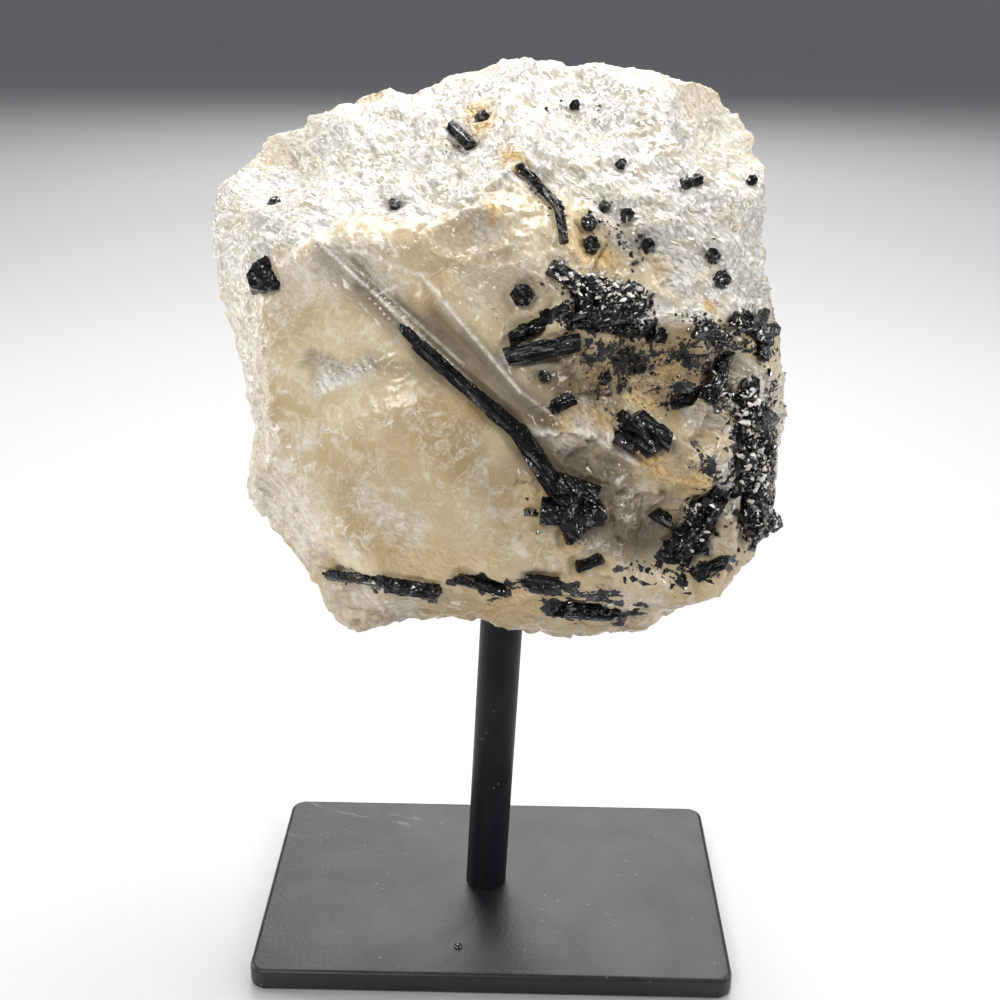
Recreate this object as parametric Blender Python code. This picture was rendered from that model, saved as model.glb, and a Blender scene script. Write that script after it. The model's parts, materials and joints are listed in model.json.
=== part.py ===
"""Tourmalinated quartz on a black metal stand.

A rough, broken block of milky to smoky quartz, about 100 mm across, grown through with black
tourmaline. It is drilled from below and sits on an 8 mm rod that leans slightly and stands in a
flat plate. The origin is the centre of the plate's underside, +Z is up, and the side of the stone
with the long dark crystal faces -Y.

Sizes are in millimetres, and MM turns them into Blender's metres. The stone is laid out in a frame
of its own, tipped back by TILT: u runs across, v up and w out of its front.
"""
import math
import random

import bmesh
import bpy
import numpy as np
from mathutils import Matrix, Vector, noise
from mathutils.bvhtree import BVHTree

MM = 0.001
GAP = 0.3
MERGE = 0.000001

# The stand
PLATE_SIZE = (90.0, 55.0, 4.5)
PLATE_CORNER = 3.0
PLATE_EDGE = 0.9
CORNER_STEPS = 5
EDGE_STEPS = 2
ROD_DIAMETER = 8.0
ROD_FOOT = (-1.6, 1.3)
ROD_LEAN = math.radians(2.5)
ROD_SINK = 1.5
ROD_TOP = 88.0
ROD_SIDES = 24

# The stone's place, and how far it reaches in front of and behind its outline
STONE_CENTRE = (1.2, -2.0, 117.8)
TILT = math.radians(15.75)
FRONT_REACH = 39.0
BACK_REACH = 36.0
ROUNDNESS = 3.4
WEAR = 44.0
OUTLINE_ALLOWANCE = 1.018
STONE_TRIANGLES = 2800
VIEW_DISTANCE = 238.0

# Corners of the stone's outline, (u, v), seen square on
OUTLINE = [
    (44.5, 4.5), (42.8, 30.0), (40.6, 35.2), (34.5, 42.0), (28.0, 43.8), (20.5, 46.3), (7.0, 47.2),
    (-1.5, 46.3), (-9.0, 45.2), (-13.0, 42.5), (-24.5, 40.6), (-28.5, 37.0), (-35.5, 35.6),
    (-42.0, 33.5), (-44.5, 28.5), (-48.0, 26.0), (-50.3, 20.0), (-46.5, 7.0), (-45.0, -5.0),
    (-42.0, -14.5), (-44.7, -26.5), (-35.5, -36.5), (-32.0, -40.5), (-27.0, -50.3), (-17.0, -48.0),
    (-8.0, -46.6), (10.0, -50.6), (23.0, -48.6), (29.0, -42.0), (37.0, -36.5), (47.6, -32.2),
    (46.2, -21.5), (48.4, -15.0), (49.2, -8.0), (47.3, -3.0),
]

# Broken faces of the stone: the way each one faces, and a point that it passes through
FACES = {
    "front": ((-0.10, -0.08, 1.00), (-8.0, -8.0, 31.5)),
    "front_left": ((-0.38, -0.10, 1.00), (-26.0, -8.0, 27.5)),
    "front_low": ((-0.15, -0.42, 1.00), (-12.0, -30.0, 27.5)),
    "left_edge": ((-0.92, -0.08, 0.42), (-43.0, 0.0, 12.0)),
    "upper_left": ((-0.18, 0.74, 0.65), (-15.0, 19.0, 27.5)),
    "upper_far_left": ((-0.62, 0.50, 0.60), (-42.5, 31.0, 6.0)),
    "upper_right": ((0.16, 0.68, 0.72), (17.0, 19.0, 27.5)),
    "upper_far_right": ((0.60, 0.55, 0.58), (38.0, 38.0, 6.0)),
    "shoulder": ((0.42, 0.18, 0.89), (27.0, 9.0, 23.0)),
    "right_edge": ((0.88, 0.10, 0.46), (41.0, 15.0, 8.0)),
    "lower_right": ((0.33, -0.20, 0.92), (22.0, -24.0, 25.0)),
    "lower_far_right": ((0.80, -0.12, 0.59), (41.5, -20.0, 13.0)),
    "underside_front": ((0.02, -0.885, 0.465), (0.0, -39.5, 21.0)),
    "underside_left": ((-0.52, -0.64, 0.57), (-35.0, -33.0, 11.0)),
    "back": ((0.10, 0.05, -1.00), (0.0, 0.0, -31.0)),
    "back_upper": ((0.05, 0.65, -0.76), (0.0, 26.0, -24.0)),
    "back_upper_left": ((-0.60, 0.45, -0.66), (-34.0, 24.0, -18.0)),
    "back_left": ((-0.78, -0.10, -0.62), (-38.0, -5.0, -17.0)),
    "back_right": ((0.72, 0.12, -0.68), (34.0, 8.0, -18.0)),
    "back_lower": ((0.10, -0.75, -0.66), (0.0, -36.0, -18.0)),
    "back_lower_right": ((0.62, -0.50, -0.60), (33.0, -31.0, -16.0)),
    "back_lower_left": ((-0.50, -0.60, -0.62), (-29.0, -33.0, -16.0)),
}

# Hollows struck out of the stone: the way from its middle, the radius they curve with, the depth
HOLLOWS = {
    "recess": ((22.0, -3.5, 27.0), 12.0, 5.0),
    "recess_right": ((33.0, -2.0, 20.0), 10.0, 4.5),
    "recess_left": ((12.0, -6.0, 30.0), 9.0, 2.4),
    "lens": ((-2.0, 14.0, 30.0), 42.0, 1.8),
    "low_left": ((-30.0, -24.0, 18.0), 38.0, 1.6),
    "step_right": ((24.0, -26.0, 24.0), 16.0, 2.2),
    "top_left": ((-31.0, 30.0, 14.0), 20.0, 1.8),
    "top_middle": ((6.0, 34.0, 18.0), 30.0, 1.6),
    "top_right": ((30.0, 30.0, 12.0), 26.0, 2.4),
    "top": ((-8.0, 38.0, -20.0), 26.0, 2.6),
    "back_hollow": ((-8.0, 8.0, -30.0), 34.0, 3.2),
    "back_chip": ((22.0, -16.0, -26.0), 20.0, 3.0),
    "back_low_chip": ((-22.0, -22.0, -24.0), 22.0, 3.0),
    "left_chip": ((-44.0, 4.0, -10.0), 24.0, 2.4),
    "right_chip": ((44.0, 12.0, -10.0), 22.0, 2.6),
}

# Raised crests and sunk grooves on the front: two ends, (u, v), height and half width
CRESTS = {
    "window_crest": ((-8.0, 7.5), (14.0, -14.5), 1.4, 3.4),
    "window_edge": ((-27.0, 14.5), (-1.0, -9.5), 0.5, 1.8),
    "window_groove": ((-24.0, 12.5), (5.0, -15.0), -0.9, 3.2),
    "veil_step": ((-33.0, -14.5), (-13.0, -9.0), 0.8, 3.5),
    "frost_ridge": ((4.5, -12.5), (15.0, -13.5), 1.2, 2.6),
    "lens_rim": ((7.5, 22.5), (8.5, 14.0), 1.6, 3.0),
    "upper_ridge": ((-38.0, 22.0), (-14.0, 16.0), 0.8, 4.5),
}
CREST_START = 6.0
CREST_FADE = 8.0

# The broken surface: bowls and tilted steps in cells, (cell size, depth)
BOWLS = [(24.0, 2.4), (9.0, 0.9)]
STEPS = [(13.0, 1.1), (6.5, 0.6)]
BOWL_RISE = 1.6
BOWL_EDGE = 0.8
BOWL_SINK = 0.5
STEP_SHIFT = (31.7, 5.3, 12.9)
STEP_SPREAD = 7.0

# The smooth face at the left of the front: its middle, its spread and how smooth it is
SMOOTH_PLACE = (-17.0, -10.0)
SMOOTH_SPREAD = (21.0, 22.0)
SMOOTH_SHARE = 0.82
SMOOTH_EDGE = 1.6

# Prisms of tourmaline
PRISM_SIDES = 8
THIN_PRISM_SIDES = 6
WIDE_PRISM = 4.0
THREE_SIDED = 0.1
END_LEAN = 0.5
GOLDEN_TURN = 0.382
NEEDLE_TURN = 0.06
NEEDLE_RISE = 0.6
CORE_SHARE = (0.1, 0.9)

# A place just past the stone's edge is drawn in, by steps, until it meets the surface
AIM_TRIES = 12
AIM_STEP = 0.97

# Sides of the stone: the directions across and up as each one is looked at
SIDES = {
    "front": ((1, 0, 0), (0, 1, 0)),
    "right": ((0, 0, -1), (0, 1, 0)),
    "back": ((-1, 0, 0), (0, 1, 0)),
    "left": ((0, 0, 1), (0, 1, 0)),
    "top": ((1, 0, 0), (0, 0, -1)),
}


def bar(start, end, width, proud=0.0, side="front"):
    """A prism that lies along the surface; proud is the height of its axis above it."""
    return {"start": start, "end": end, "width": width, "proud": proud, "side": side}


def stub(place, width, proud=0.5, depth=3.0, lean=(0.0, 0.0), side="front"):
    """A prism that stands in the surface, end on, leaning by (across, up)."""
    return {"place": place, "width": width, "proud": proud, "depth": depth, "lean": lean, "side": side}


def needles(path, width, count, reach, needle, side="front", proud=0.0):
    """A mass of prisms: a core along a path, with shorter ones lying out from it."""
    return {"path": path, "width": width, "count": count, "reach": reach, "needle": needle,
            "side": side, "proud": proud}


# Tourmaline, by crystal or by mass. Places are read in the plane of the stone's outline, as they
# look from VIEW_DISTANCE in front of its middle.
CRYSTALS = {
    "crystal_left_end": [stub((-41.0, 11.0), 5.4, 1.0, 7.0, (0.45, 0.1))],
    "crystal_left_tip": [stub((-39.5, 23.0), 2.2, 0.5, 4.0)],
    "crystal_upper_dot": [stub((-19.0, 23.5), 1.7, 0.4)],
    "crystal_top_bar": [bar((-9.8, 36.3), (-6.3, 33.2), 2.0, 0.2)],
    "crystal_top_dot": [stub((-4.5, 38.0), 2.2, 0.5)],
    "crystal_vein": [
        bar((2.0, 30.2), (5.6, 26.6), 1.3, 0.1),
        bar((5.0, 27.2), (9.2, 23.0), 1.2, 0.1),
        bar((8.8, 23.8), (10.0, 17.4), 1.4, 0.1),
    ],
    "crystal_grain_1": [stub((16.6, 23.6), 1.6, 0.5)],
    "crystal_grain_2": [stub((20.4, 22.2), 2.0, 0.5)],
    "crystal_grain_3": [stub((14.0, 20.8), 2.4, 0.6)],
    "crystal_grain_4": [stub((14.5, 17.0), 2.6, 0.6)],
    "crystal_grain_5": [stub((24.0, 17.2), 2.0, 0.5)],
    "crystal_grain_6": [stub((11.0, 40.0), 1.5, 0.5)],
    "crystal_grain_7": [stub((19.0, 30.5), 1.6, 0.5)],
    "crystal_centre_mass": [
        needles([(12.5, 8.8), (17.5, 8.4), (22.8, 6.6)], 5.0, 5, (2.6, 4.2), (2.2, 3.2)),
        bar((7.8, 13.2), (13.5, 9.8), 2.6, 0.3),
        bar((12.6, 5.4), (22.4, 3.8), 3.6, 0.2),
        bar((14.5, 8.0), (1.2, 0.9), 2.2, 0.3),
    ],
    "crystal_centre_bar": [bar((0.6, -2.0), (12.6, 0.6), 2.9, 0.6)],
    "crystal_blob": [stub((3.0, 8.5), 3.4, 0.8, 4.0, (0.1, 0.0))],
    "crystal_right_upper": [bar((29.6, 27.2), (32.3, 28.0), 1.9, 0.2)],
    "crystal_ring_1": [stub((41.0, 28.0), 1.7, 0.5)],
    "crystal_ring_2": [stub((35.0, 15.5), 2.3, 0.5)],
    "crystal_ring_3": [stub((36.5, 11.6), 2.9, 0.5)],
    "crystal_edge_mass": [needles([(40.8, 4.8), (44.2, 1.2)], 3.4, 4, (2.4, 3.4), (1.8, 2.8))],
    "crystal_ledge_bar": [bar((32.4, 2.8), (37.0, 2.0), 2.3, 0.3)],
    "crystal_recess_1": [bar((9.0, -10.4), (11.8, -9.0), 2.3, 0.2)],
    "crystal_recess_2": [stub((7.0, -5.2), 1.7, 0.5)],
    "crystal_recess_3": [stub((26.5, 2.0), 2.4, 0.6)],
    "crystal_recess_4": [stub((17.5, -5.5), 2.0, 0.6)],
    "crystal_recess_5": [stub((23.0, -3.5), 1.8, 0.6)],
    "crystal_hook": [
        bar((29.0, -9.4), (35.8, -8.4), 2.2, 0.3),
        bar((33.8, -8.0), (36.8, -5.4), 3.0, 0.3),
        bar((36.4, -6.6), (38.0, -0.8), 2.0, 0.4),
    ],
    "crystal_striated": [
        bar((22.2, -11.8), (28.8, -16.2), 3.0, 0.3),
        bar((20.4, -12.8), (26.2, -18.0), 3.2, 0.5),
        bar((19.2, -14.6), (22.8, -17.2), 2.6, 0.3),
    ],
    "crystal_long": [
        bar((-23.0, 8.6), (-13.6, -1.2), 1.6, -0.2),
        bar((-14.8, -0.2), (-1.0, -11.8), 2.2, 0.0),
        bar((-2.0, -11.0), (3.4, -15.4), 2.3, 0.1),
        bar((2.4, -14.0), (9.8, -25.4), 3.0, 0.4),
        bar((8.8, -23.4), (16.0, -25.6), 3.8, 0.5),
        bar((6.8, -28.6), (16.4, -28.8), 4.2, 0.5),
        bar((10.2, -25.2), (13.0, -32.4), 4.4, 0.5),
    ],
    "crystal_rhomb": [bar((26.4, -28.4), (28.4, -29.6), 2.4, 0.2)],
    "crystal_low_mass": [
        needles([(31.0, -34.6), (34.2, -30.6), (36.4, -26.0)], 4.2, 5, (2.6, 3.8), (2.4, 3.5)),
    ],
    "crystal_right_mass": [
        needles([(41.4, -9.6), (44.0, -16.0), (42.8, -22.6), (43.0, -30.0)],
                5.4, 8, (3.0, 4.8), (2.4, 3.8)),
    ],
    "crystal_bottom_dot": [bar((13.4, -38.0), (17.4, -36.6), 2.0, 0.2)],
    "crystal_bottom_left": [
        bar((-30.0, -40.2), (-19.0, -41.8), 1.5, 0.1),
        bar((-20.5, -41.6), (-11.0, -43.0), 2.8, 0.1),
    ],
    "crystal_bottom_middle": [bar((-7.6, -40.6), (0.6, -42.6), 1.7, 0.1)],
    "crystal_bottom_thin": [bar((4.4, -40.6), (9.8, -41.2), 1.9, 0.1)],
    "crystal_bottom_right": [bar((11.2, -45.4), (19.6, -46.0), 3.2, 0.2)],
    "crystal_bottom_end": [bar((33.4, -39.6), (38.2, -36.8), 2.2, 0.2)],
    "crystal_side_mass": [
        needles([(8.0, -2.0), (13.0, -8.0), (11.0, -15.0)], 4.0, 4, (3.4, 5.0), (2.2, 3.2), "right"),
    ],
    "crystal_side_bar": [bar((8.0, 14.0), (15.0, 20.0), 2.4, 0.2, "right")],
    "crystal_back_bar": [bar((-14.0, 16.0), (4.0, 8.0), 2.8, 0.1, "back")],
    "crystal_back_mass": [
        needles([(-26.0, -10.0), (-20.0, -16.0)], 3.6, 4, (3.0, 4.6), (2.0, 3.0), "back"),
    ],
    "crystal_back_end": [stub((18.0, -12.0), 4.0, 0.6, 6.0, (0.1, 0.2), "back")],
    "crystal_back_thin": [bar((14.0, 20.0), (24.0, 26.0), 1.8, 0.1, "back")],
    "crystal_side_end": [stub((-2.0, 2.0), 3.4, 0.6, 5.0, (0.2, 0.0), "left")],
    "crystal_top_end": [stub((10.0, 6.0), 3.0, 0.6, 5.0, (0.1, 0.1), "top")],
}


def unit(vector):
    """The vector scaled to length one."""
    vector = np.asarray(vector, float)
    return vector / np.linalg.norm(vector)


def outline_reach(across, up):
    """Distance from the outline's middle to its edge along each direction (across, up)."""
    corners = sorted(OUTLINE, key=lambda corner: math.atan2(corner[1], corner[0]))
    corners = np.array(corners)
    angles = np.arctan2(corners[:, 1], corners[:, 0])
    ends = np.searchsorted(angles, np.arctan2(up, across)) % len(corners)
    start = corners[ends - 1]
    side = corners[ends] - start
    level = across * side[:, 1] - up * side[:, 0]
    return (start[:, 0] * side[:, 1] - start[:, 1] * side[:, 0]) / level


def body_reach(ways):
    """Distance from the stone's middle to its broken faces along each unit way (u, v, w)."""
    flat = np.hypot(ways[:, 0], ways[:, 1])
    turn = np.arctan2(ways[:, 1], ways[:, 0])
    rim = outline_reach(np.cos(turn), np.sin(turn)) * OUTLINE_ALLOWANCE
    depth = np.where(ways[:, 2] > 0.0, FRONT_REACH, BACK_REACH)
    nearness = (flat / rim) ** ROUNDNESS + (np.abs(ways[:, 2]) / depth) ** ROUNDNESS
    nearness = nearness ** (WEAR / ROUNDNESS)
    for facing, point in FACES.values():
        normal = unit(facing)
        nearness = nearness + np.maximum(ways @ normal / (normal @ np.array(point)), 0.0) ** WEAR
    return nearness ** (-1.0 / WEAR)


def strike_hollows(ways, reach):
    """The reach after the round hollows are struck out."""
    for toward, radius, depth in HOLLOWS.values():
        way = unit(toward)
        centre = way * (body_reach(way[None, :])[0] + radius - depth)
        along = ways @ centre
        inside = along ** 2 - (centre @ centre - radius ** 2)
        entry = along - np.sqrt(np.maximum(inside, 0.0))
        reach = np.where((inside > 0.0) & (along > 0.0), np.minimum(reach, entry), reach)
    return reach


def crest_height(points):
    """Height of the crests and grooves at points on the front."""
    height = np.zeros(len(points))
    front = np.clip((points[:, 2] - CREST_START) / CREST_FADE, 0.0, 1.0)
    for start, end, rise, half_width in CRESTS.values():
        start = np.array(start)
        run = np.array(end) - start
        share = np.clip(((points[:, :2] - start) @ run) / (run @ run), 0.0, 1.0)
        away = np.linalg.norm(points[:, :2] - start - share[:, None] * run, axis=1)
        height += rise * np.clip(1.0 - away / half_width, 0.0, 1.0)
    return height * front


def break_height(point, rough):
    """Height of the bowls and tilted steps of the broken surface at one point."""
    height = 0.0
    for cell, depth in BOWLS:
        spans, _ = noise.voronoi(Vector(point) / cell)
        height += depth * rough * (BOWL_RISE * min(spans[0], BOWL_EDGE) ** 2 - BOWL_SINK)
    for cell, depth in STEPS:
        place = Vector(point) / cell + Vector(STEP_SHIFT)
        _, centres = noise.voronoi(place)
        lean = noise.cell_vector(centres[0] * STEP_SPREAD) * 2.0 - Vector((1.0, 1.0, 1.0))
        height += depth * rough * max(-1.0, min(1.0, lean.dot(place - centres[0])))
    return height


def stone_points(ways):
    """Points of the stone's surface along unit ways from its middle."""
    reach = strike_hollows(ways, body_reach(ways))
    points = ways * reach[:, None]
    spread = ((points[:, :2] - np.array(SMOOTH_PLACE)) / np.array(SMOOTH_SPREAD)) ** 2
    smooth = SMOOTH_SHARE * np.clip(SMOOTH_EDGE - spread.sum(axis=1), 0.0, 1.0) * (points[:, 2] > 0.0)
    height = crest_height(points)
    for index, point in enumerate(points):
        height[index] += break_height(point, 1.0 - smooth[index])
    return ways * (reach + height)[:, None]


def collection(name):
    """A new collection in the scene."""
    made = bpy.data.collections.new(name)
    bpy.context.scene.collection.children.link(made)
    return made


def material(name, colour, roughness, metallic=0.0):
    """A Principled material of one finish."""
    made = bpy.data.materials.new(name)
    made.use_nodes = True
    shader = made.node_tree.nodes["Principled BSDF"]
    shader.inputs["Base Color"].default_value = (*colour, 1.0)
    shader.inputs["Roughness"].default_value = roughness
    shader.inputs["Metallic"].default_value = metallic
    return made


def new_object(name, shape, home, frame=None, finish=None):
    """An object made from a bmesh, linked to a collection and hung on a frame."""
    mesh = bpy.data.meshes.new(name)
    shape.to_mesh(mesh)
    shape.free()
    made = bpy.data.objects.new(name, mesh)
    home.objects.link(made)
    made.parent = frame
    if finish:
        mesh.materials.append(finish)
    return made


def settle(thing):
    """Turns what an object's modifiers make of it into its mesh."""
    bpy.context.view_layer.update()
    evaluated = thing.evaluated_get(bpy.context.evaluated_depsgraph_get())
    mesh = bpy.data.meshes.new_from_object(evaluated)
    thing.modifiers.clear()
    thing.data = mesh


def drop_chips(thing):
    """Keeps an object's largest piece and drops any chip that the cuts have parted from it."""
    shape = bmesh.new()
    shape.from_mesh(thing.data)
    bmesh.ops.remove_doubles(shape, verts=shape.verts, dist=MERGE)
    left = set(shape.verts)
    pieces = []
    while left:
        reached = [left.pop()]
        piece = set(reached)
        while reached:
            for edge in reached.pop().link_edges:
                for vert in edge.verts:
                    if vert in left:
                        left.discard(vert)
                        piece.add(vert)
                        reached.append(vert)
        pieces.append(piece)
    largest = max(pieces, key=len)
    loose = [vert for vert in shape.verts if vert not in largest]
    bmesh.ops.delete(shape, geom=loose, context="VERTS")
    bmesh.ops.triangulate(shape, faces=shape.faces)
    shape.to_mesh(thing.data)
    shape.free()


def cut(thing, cutters, operation="DIFFERENCE"):
    """A Boolean of an object with a collection of others."""
    step = thing.modifiers.new(operation.lower(), "BOOLEAN")
    step.operation = operation
    step.operand_type = "COLLECTION"
    step.collection = cutters
    step.solver = "EXACT"


def as_cutter(thing):
    """Marks an object as one that only cuts or joins others."""
    thing.hide_render = True
    thing.display_type = "WIRE"


def make_stone(home, frame, finish):
    """The quartz before anything is cut into it."""
    shape = bmesh.new()
    bmesh.ops.create_icosphere(shape, subdivisions=6, radius=1.0)
    ways = np.array([vert.co[:] for vert in shape.verts])
    ways /= np.linalg.norm(ways, axis=1)[:, None]
    for vert, point in zip(shape.verts, stone_points(ways)):
        vert.co = Vector(point) * MM
    triangles = len(shape.faces)
    stone = new_object("quartz", shape, home, frame, finish)
    thin = stone.modifiers.new("thin", "DECIMATE")
    thin.ratio = STONE_TRIANGLES / triangles
    settle(stone)
    return stone


class Surface:
    """The stone's surface, for setting crystals on it."""

    def __init__(self, stone):
        shape = bmesh.new()
        shape.from_mesh(stone.data)
        self.tree = BVHTree.FromBMesh(shape)
        shape.free()

    def spot(self, place, side):
        """The surface point and outward direction at a place on a side."""
        across, up = (Vector(axis) for axis in SIDES[side])
        out = across.cross(up)
        eye = out * VIEW_DISTANCE
        aim = across * place[0] + up * place[1]
        for _ in range(AIM_TRIES):
            point, normal, _, _ = self.tree.ray_cast(eye * MM, (aim - eye).normalized())
            if point:
                return point / MM, (normal + out).normalized()
            aim *= AIM_STEP
        raise ValueError("no surface at %s on the %s" % (place, side))


def prism_ends(surface, spec, draw):
    """Start, end, width and outward direction of each prism that a specification asks for."""
    side = spec["side"]
    if "place" in spec:
        point, out = surface.spot(spec["place"], side)
        across, up = (Vector(axis) for axis in SIDES[side])
        axis = (out + across * spec["lean"][0] + up * spec["lean"][1]).normalized()
        return [(point + axis * spec["proud"], point - axis * spec["depth"], spec["width"], across)]
    if "start" in spec:
        return [bar_ends(surface, spec["start"], spec["end"], spec["width"], spec["proud"], side)]
    path = spec["path"]
    legs = list(zip(path, path[1:]))
    found = [bar_ends(surface, start, end, spec["width"], spec["proud"], side) for start, end in legs]
    for index in range(spec["count"]):
        start, end = legs[index % len(legs)]
        share = draw.uniform(*CORE_SHARE)
        root = [start[axis] * (1.0 - share) + end[axis] * share for axis in (0, 1)]
        turn = math.tau * (index * GOLDEN_TURN + draw.uniform(-NEEDLE_TURN, NEEDLE_TURN))
        reach = draw.uniform(*spec["reach"])
        tip = (root[0] + reach * math.cos(turn), root[1] + reach * math.sin(turn))
        width = draw.uniform(*spec["needle"])
        found.append(bar_ends(surface, root, tip, width, draw.uniform(0.0, NEEDLE_RISE), side))
    return found


def bar_ends(surface, start, end, width, proud, side):
    """Both ends of a bar on the surface, with its width and outward direction."""
    first, out_first = surface.spot(start, side)
    last, out_last = surface.spot(end, side)
    return first + out_first * proud, last + out_last * proud, width, (out_first + out_last).normalized()


def prism(name, ends, extra, home, frame, draw):
    """One prism with the rounded three-sided section of tourmaline and broken ends."""
    start, end, width, out = ends
    axis = (end - start).normalized()
    length = (end - start).length + 2.0 * extra
    sides = PRISM_SIDES if width > WIDE_PRISM else THIN_PRISM_SIDES
    shape = bmesh.new()
    bmesh.ops.create_cone(shape, cap_ends=True, segments=sides, radius1=1.0, radius2=1.0, depth=length)
    lean = (draw.uniform(-END_LEAN, END_LEAN), draw.uniform(-END_LEAN, END_LEAN))
    for vert in shape.verts:
        turn = math.atan2(vert.co.y, vert.co.x)
        radius = width / 2.0 * (1.0 + THREE_SIDED * math.cos(3.0 * turn))
        slope = lean[0] * math.cos(turn) + lean[1] * math.sin(turn)
        vert.co.z += math.copysign(1.0, vert.co.z) * slope * width / 2.0
        vert.co.x = (radius + extra) * math.cos(turn)
        vert.co.y = (radius + extra) * math.sin(turn)
    made = new_object(name, shape, home, frame)
    cross = out.cross(axis).normalized()
    turned = Matrix((cross, axis.cross(cross), axis)).transposed().to_4x4()
    made.matrix_basis = (Matrix.Translation((start + end) * MM / 2.0) @ turned @ Matrix.Scale(MM, 4))
    as_cutter(made)
    return made


def make_crystal(name, specs, surface, parts, cutters, sockets, frame, finish):
    """One crystal, or one mass of overlapping crystals joined in one solid, with its sockets."""
    draw = random.Random(name)
    ends = [found for spec in specs for found in prism_ends(surface, spec, draw)]
    others = bpy.data.collections.new(name + "_prisms")
    cutters.children.link(others)
    for index, each in enumerate(ends):
        seed = "%s_%d" % (name, index)
        home = others if index else parts
        piece = prism(seed if index else name, each, 0.0, home, frame, random.Random(seed))
        prism(seed + "_socket", each, GAP, sockets, frame, random.Random(seed))
        if not index:
            crystal = piece
    crystal.hide_render = False
    crystal.display_type = "TEXTURED"
    if len(ends) > 1:
        cut(crystal, others, "UNION")
    crystal.data.materials.append(finish)
    settle(crystal)
    drop_chips(crystal)
    return crystal


def make_rod(name, extra, top, home, finish=None):
    """The leaning rod, or with extra round it the cutter for its holes."""
    lean = Matrix.Rotation(ROD_LEAN, 4, "Y")
    foot = PLATE_SIZE[2] - ROD_SINK - extra
    length = (top + extra - foot) / math.cos(ROD_LEAN)
    shape = bmesh.new()
    radius = (ROD_DIAMETER / 2.0 + extra) * MM
    bmesh.ops.create_cone(shape, cap_ends=True, segments=ROD_SIDES, radius1=radius, radius2=radius,
                          depth=length * MM)
    rod = new_object(name, shape, home, None, finish)
    rod.rotation_euler = (0.0, ROD_LEAN, 0.0)
    middle = lean @ Vector((0.0, 0.0, length / 2.0))
    start = Vector((ROD_FOOT[0] - math.tan(ROD_LEAN) * (ROD_SINK + extra), ROD_FOOT[1], foot))
    rod.location = (start + middle) * MM
    return rod


def make_plate(home, finish):
    """The flat plate, its corners rounded and its edges softened."""
    shape = bmesh.new()
    bmesh.ops.create_cube(shape, size=1.0)
    bmesh.ops.scale(shape, vec=Vector(PLATE_SIZE) * MM, verts=shape.verts)
    upright = [edge for edge in shape.edges if abs(edge.verts[0].co.z - edge.verts[1].co.z) > MM]
    bmesh.ops.bevel(shape, geom=upright, offset=PLATE_CORNER * MM, segments=CORNER_STEPS, profile=0.5,
                    affect="EDGES")
    rims = [edge for edge in shape.edges if abs(edge.verts[0].co.z - edge.verts[1].co.z) < MM / 10.0]
    bmesh.ops.bevel(shape, geom=rims, offset=PLATE_EDGE * MM, segments=EDGE_STEPS, profile=0.5,
                    affect="EDGES")
    plate = new_object("stand_base", shape, home, None, finish)
    plate.location = (0.0, 0.0, PLATE_SIZE[2] * MM / 2.0)
    return plate


def main():
    for old in list(bpy.data.objects):
        bpy.data.objects.remove(old, do_unlink=True)
    parts = collection("tourmalinated_quartz")
    cutters = collection("cutters")
    frame = bpy.data.objects.new("stone_frame", None)
    parts.objects.link(frame)
    frame.location = Vector(STONE_CENTRE) * MM
    frame.rotation_euler = (math.pi / 2 - TILT, 0.0, 0.0)

    black = material("stand_black", (0.018, 0.019, 0.022), 0.42)
    make_rod("stand_rod", 0.0, ROD_TOP, parts, black)
    plate = make_plate(parts, black)
    bores = bpy.data.collections.new("bores")
    cutters.children.link(bores)
    bore = make_rod("rod_bore", GAP, ROD_TOP, bores)
    as_cutter(bore)
    cut(plate, bores)

    stone = make_stone(parts, frame, material("quartz", (0.72, 0.66, 0.56), 0.35))
    surface = Surface(stone)
    sockets = bpy.data.collections.new("sockets")
    cutters.children.link(sockets)
    tourmaline = material("tourmaline", (0.012, 0.013, 0.015), 0.22)
    for name, specs in CRYSTALS.items():
        make_crystal(name, specs, surface, parts, cutters, sockets, frame, tourmaline)
    cut(stone, bores)
    settle(stone)
    cut(stone, sockets)
    settle(stone)
    drop_chips(stone)


main()
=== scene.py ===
"""The looks of the tourmalinated quartz and its stand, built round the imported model.

Sizes are in millimetres in the tables, and MM turns them into Blender's metres. The stone is laid
out in a frame of its own, tipped back by TILT: u runs across, v up and w out of its front.
"""

import json
import math
import random

import bmesh
import bpy
import numpy as np
from mathutils import Matrix, Vector, kdtree, noise
from mathutils.bvhtree import BVHTree

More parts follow.
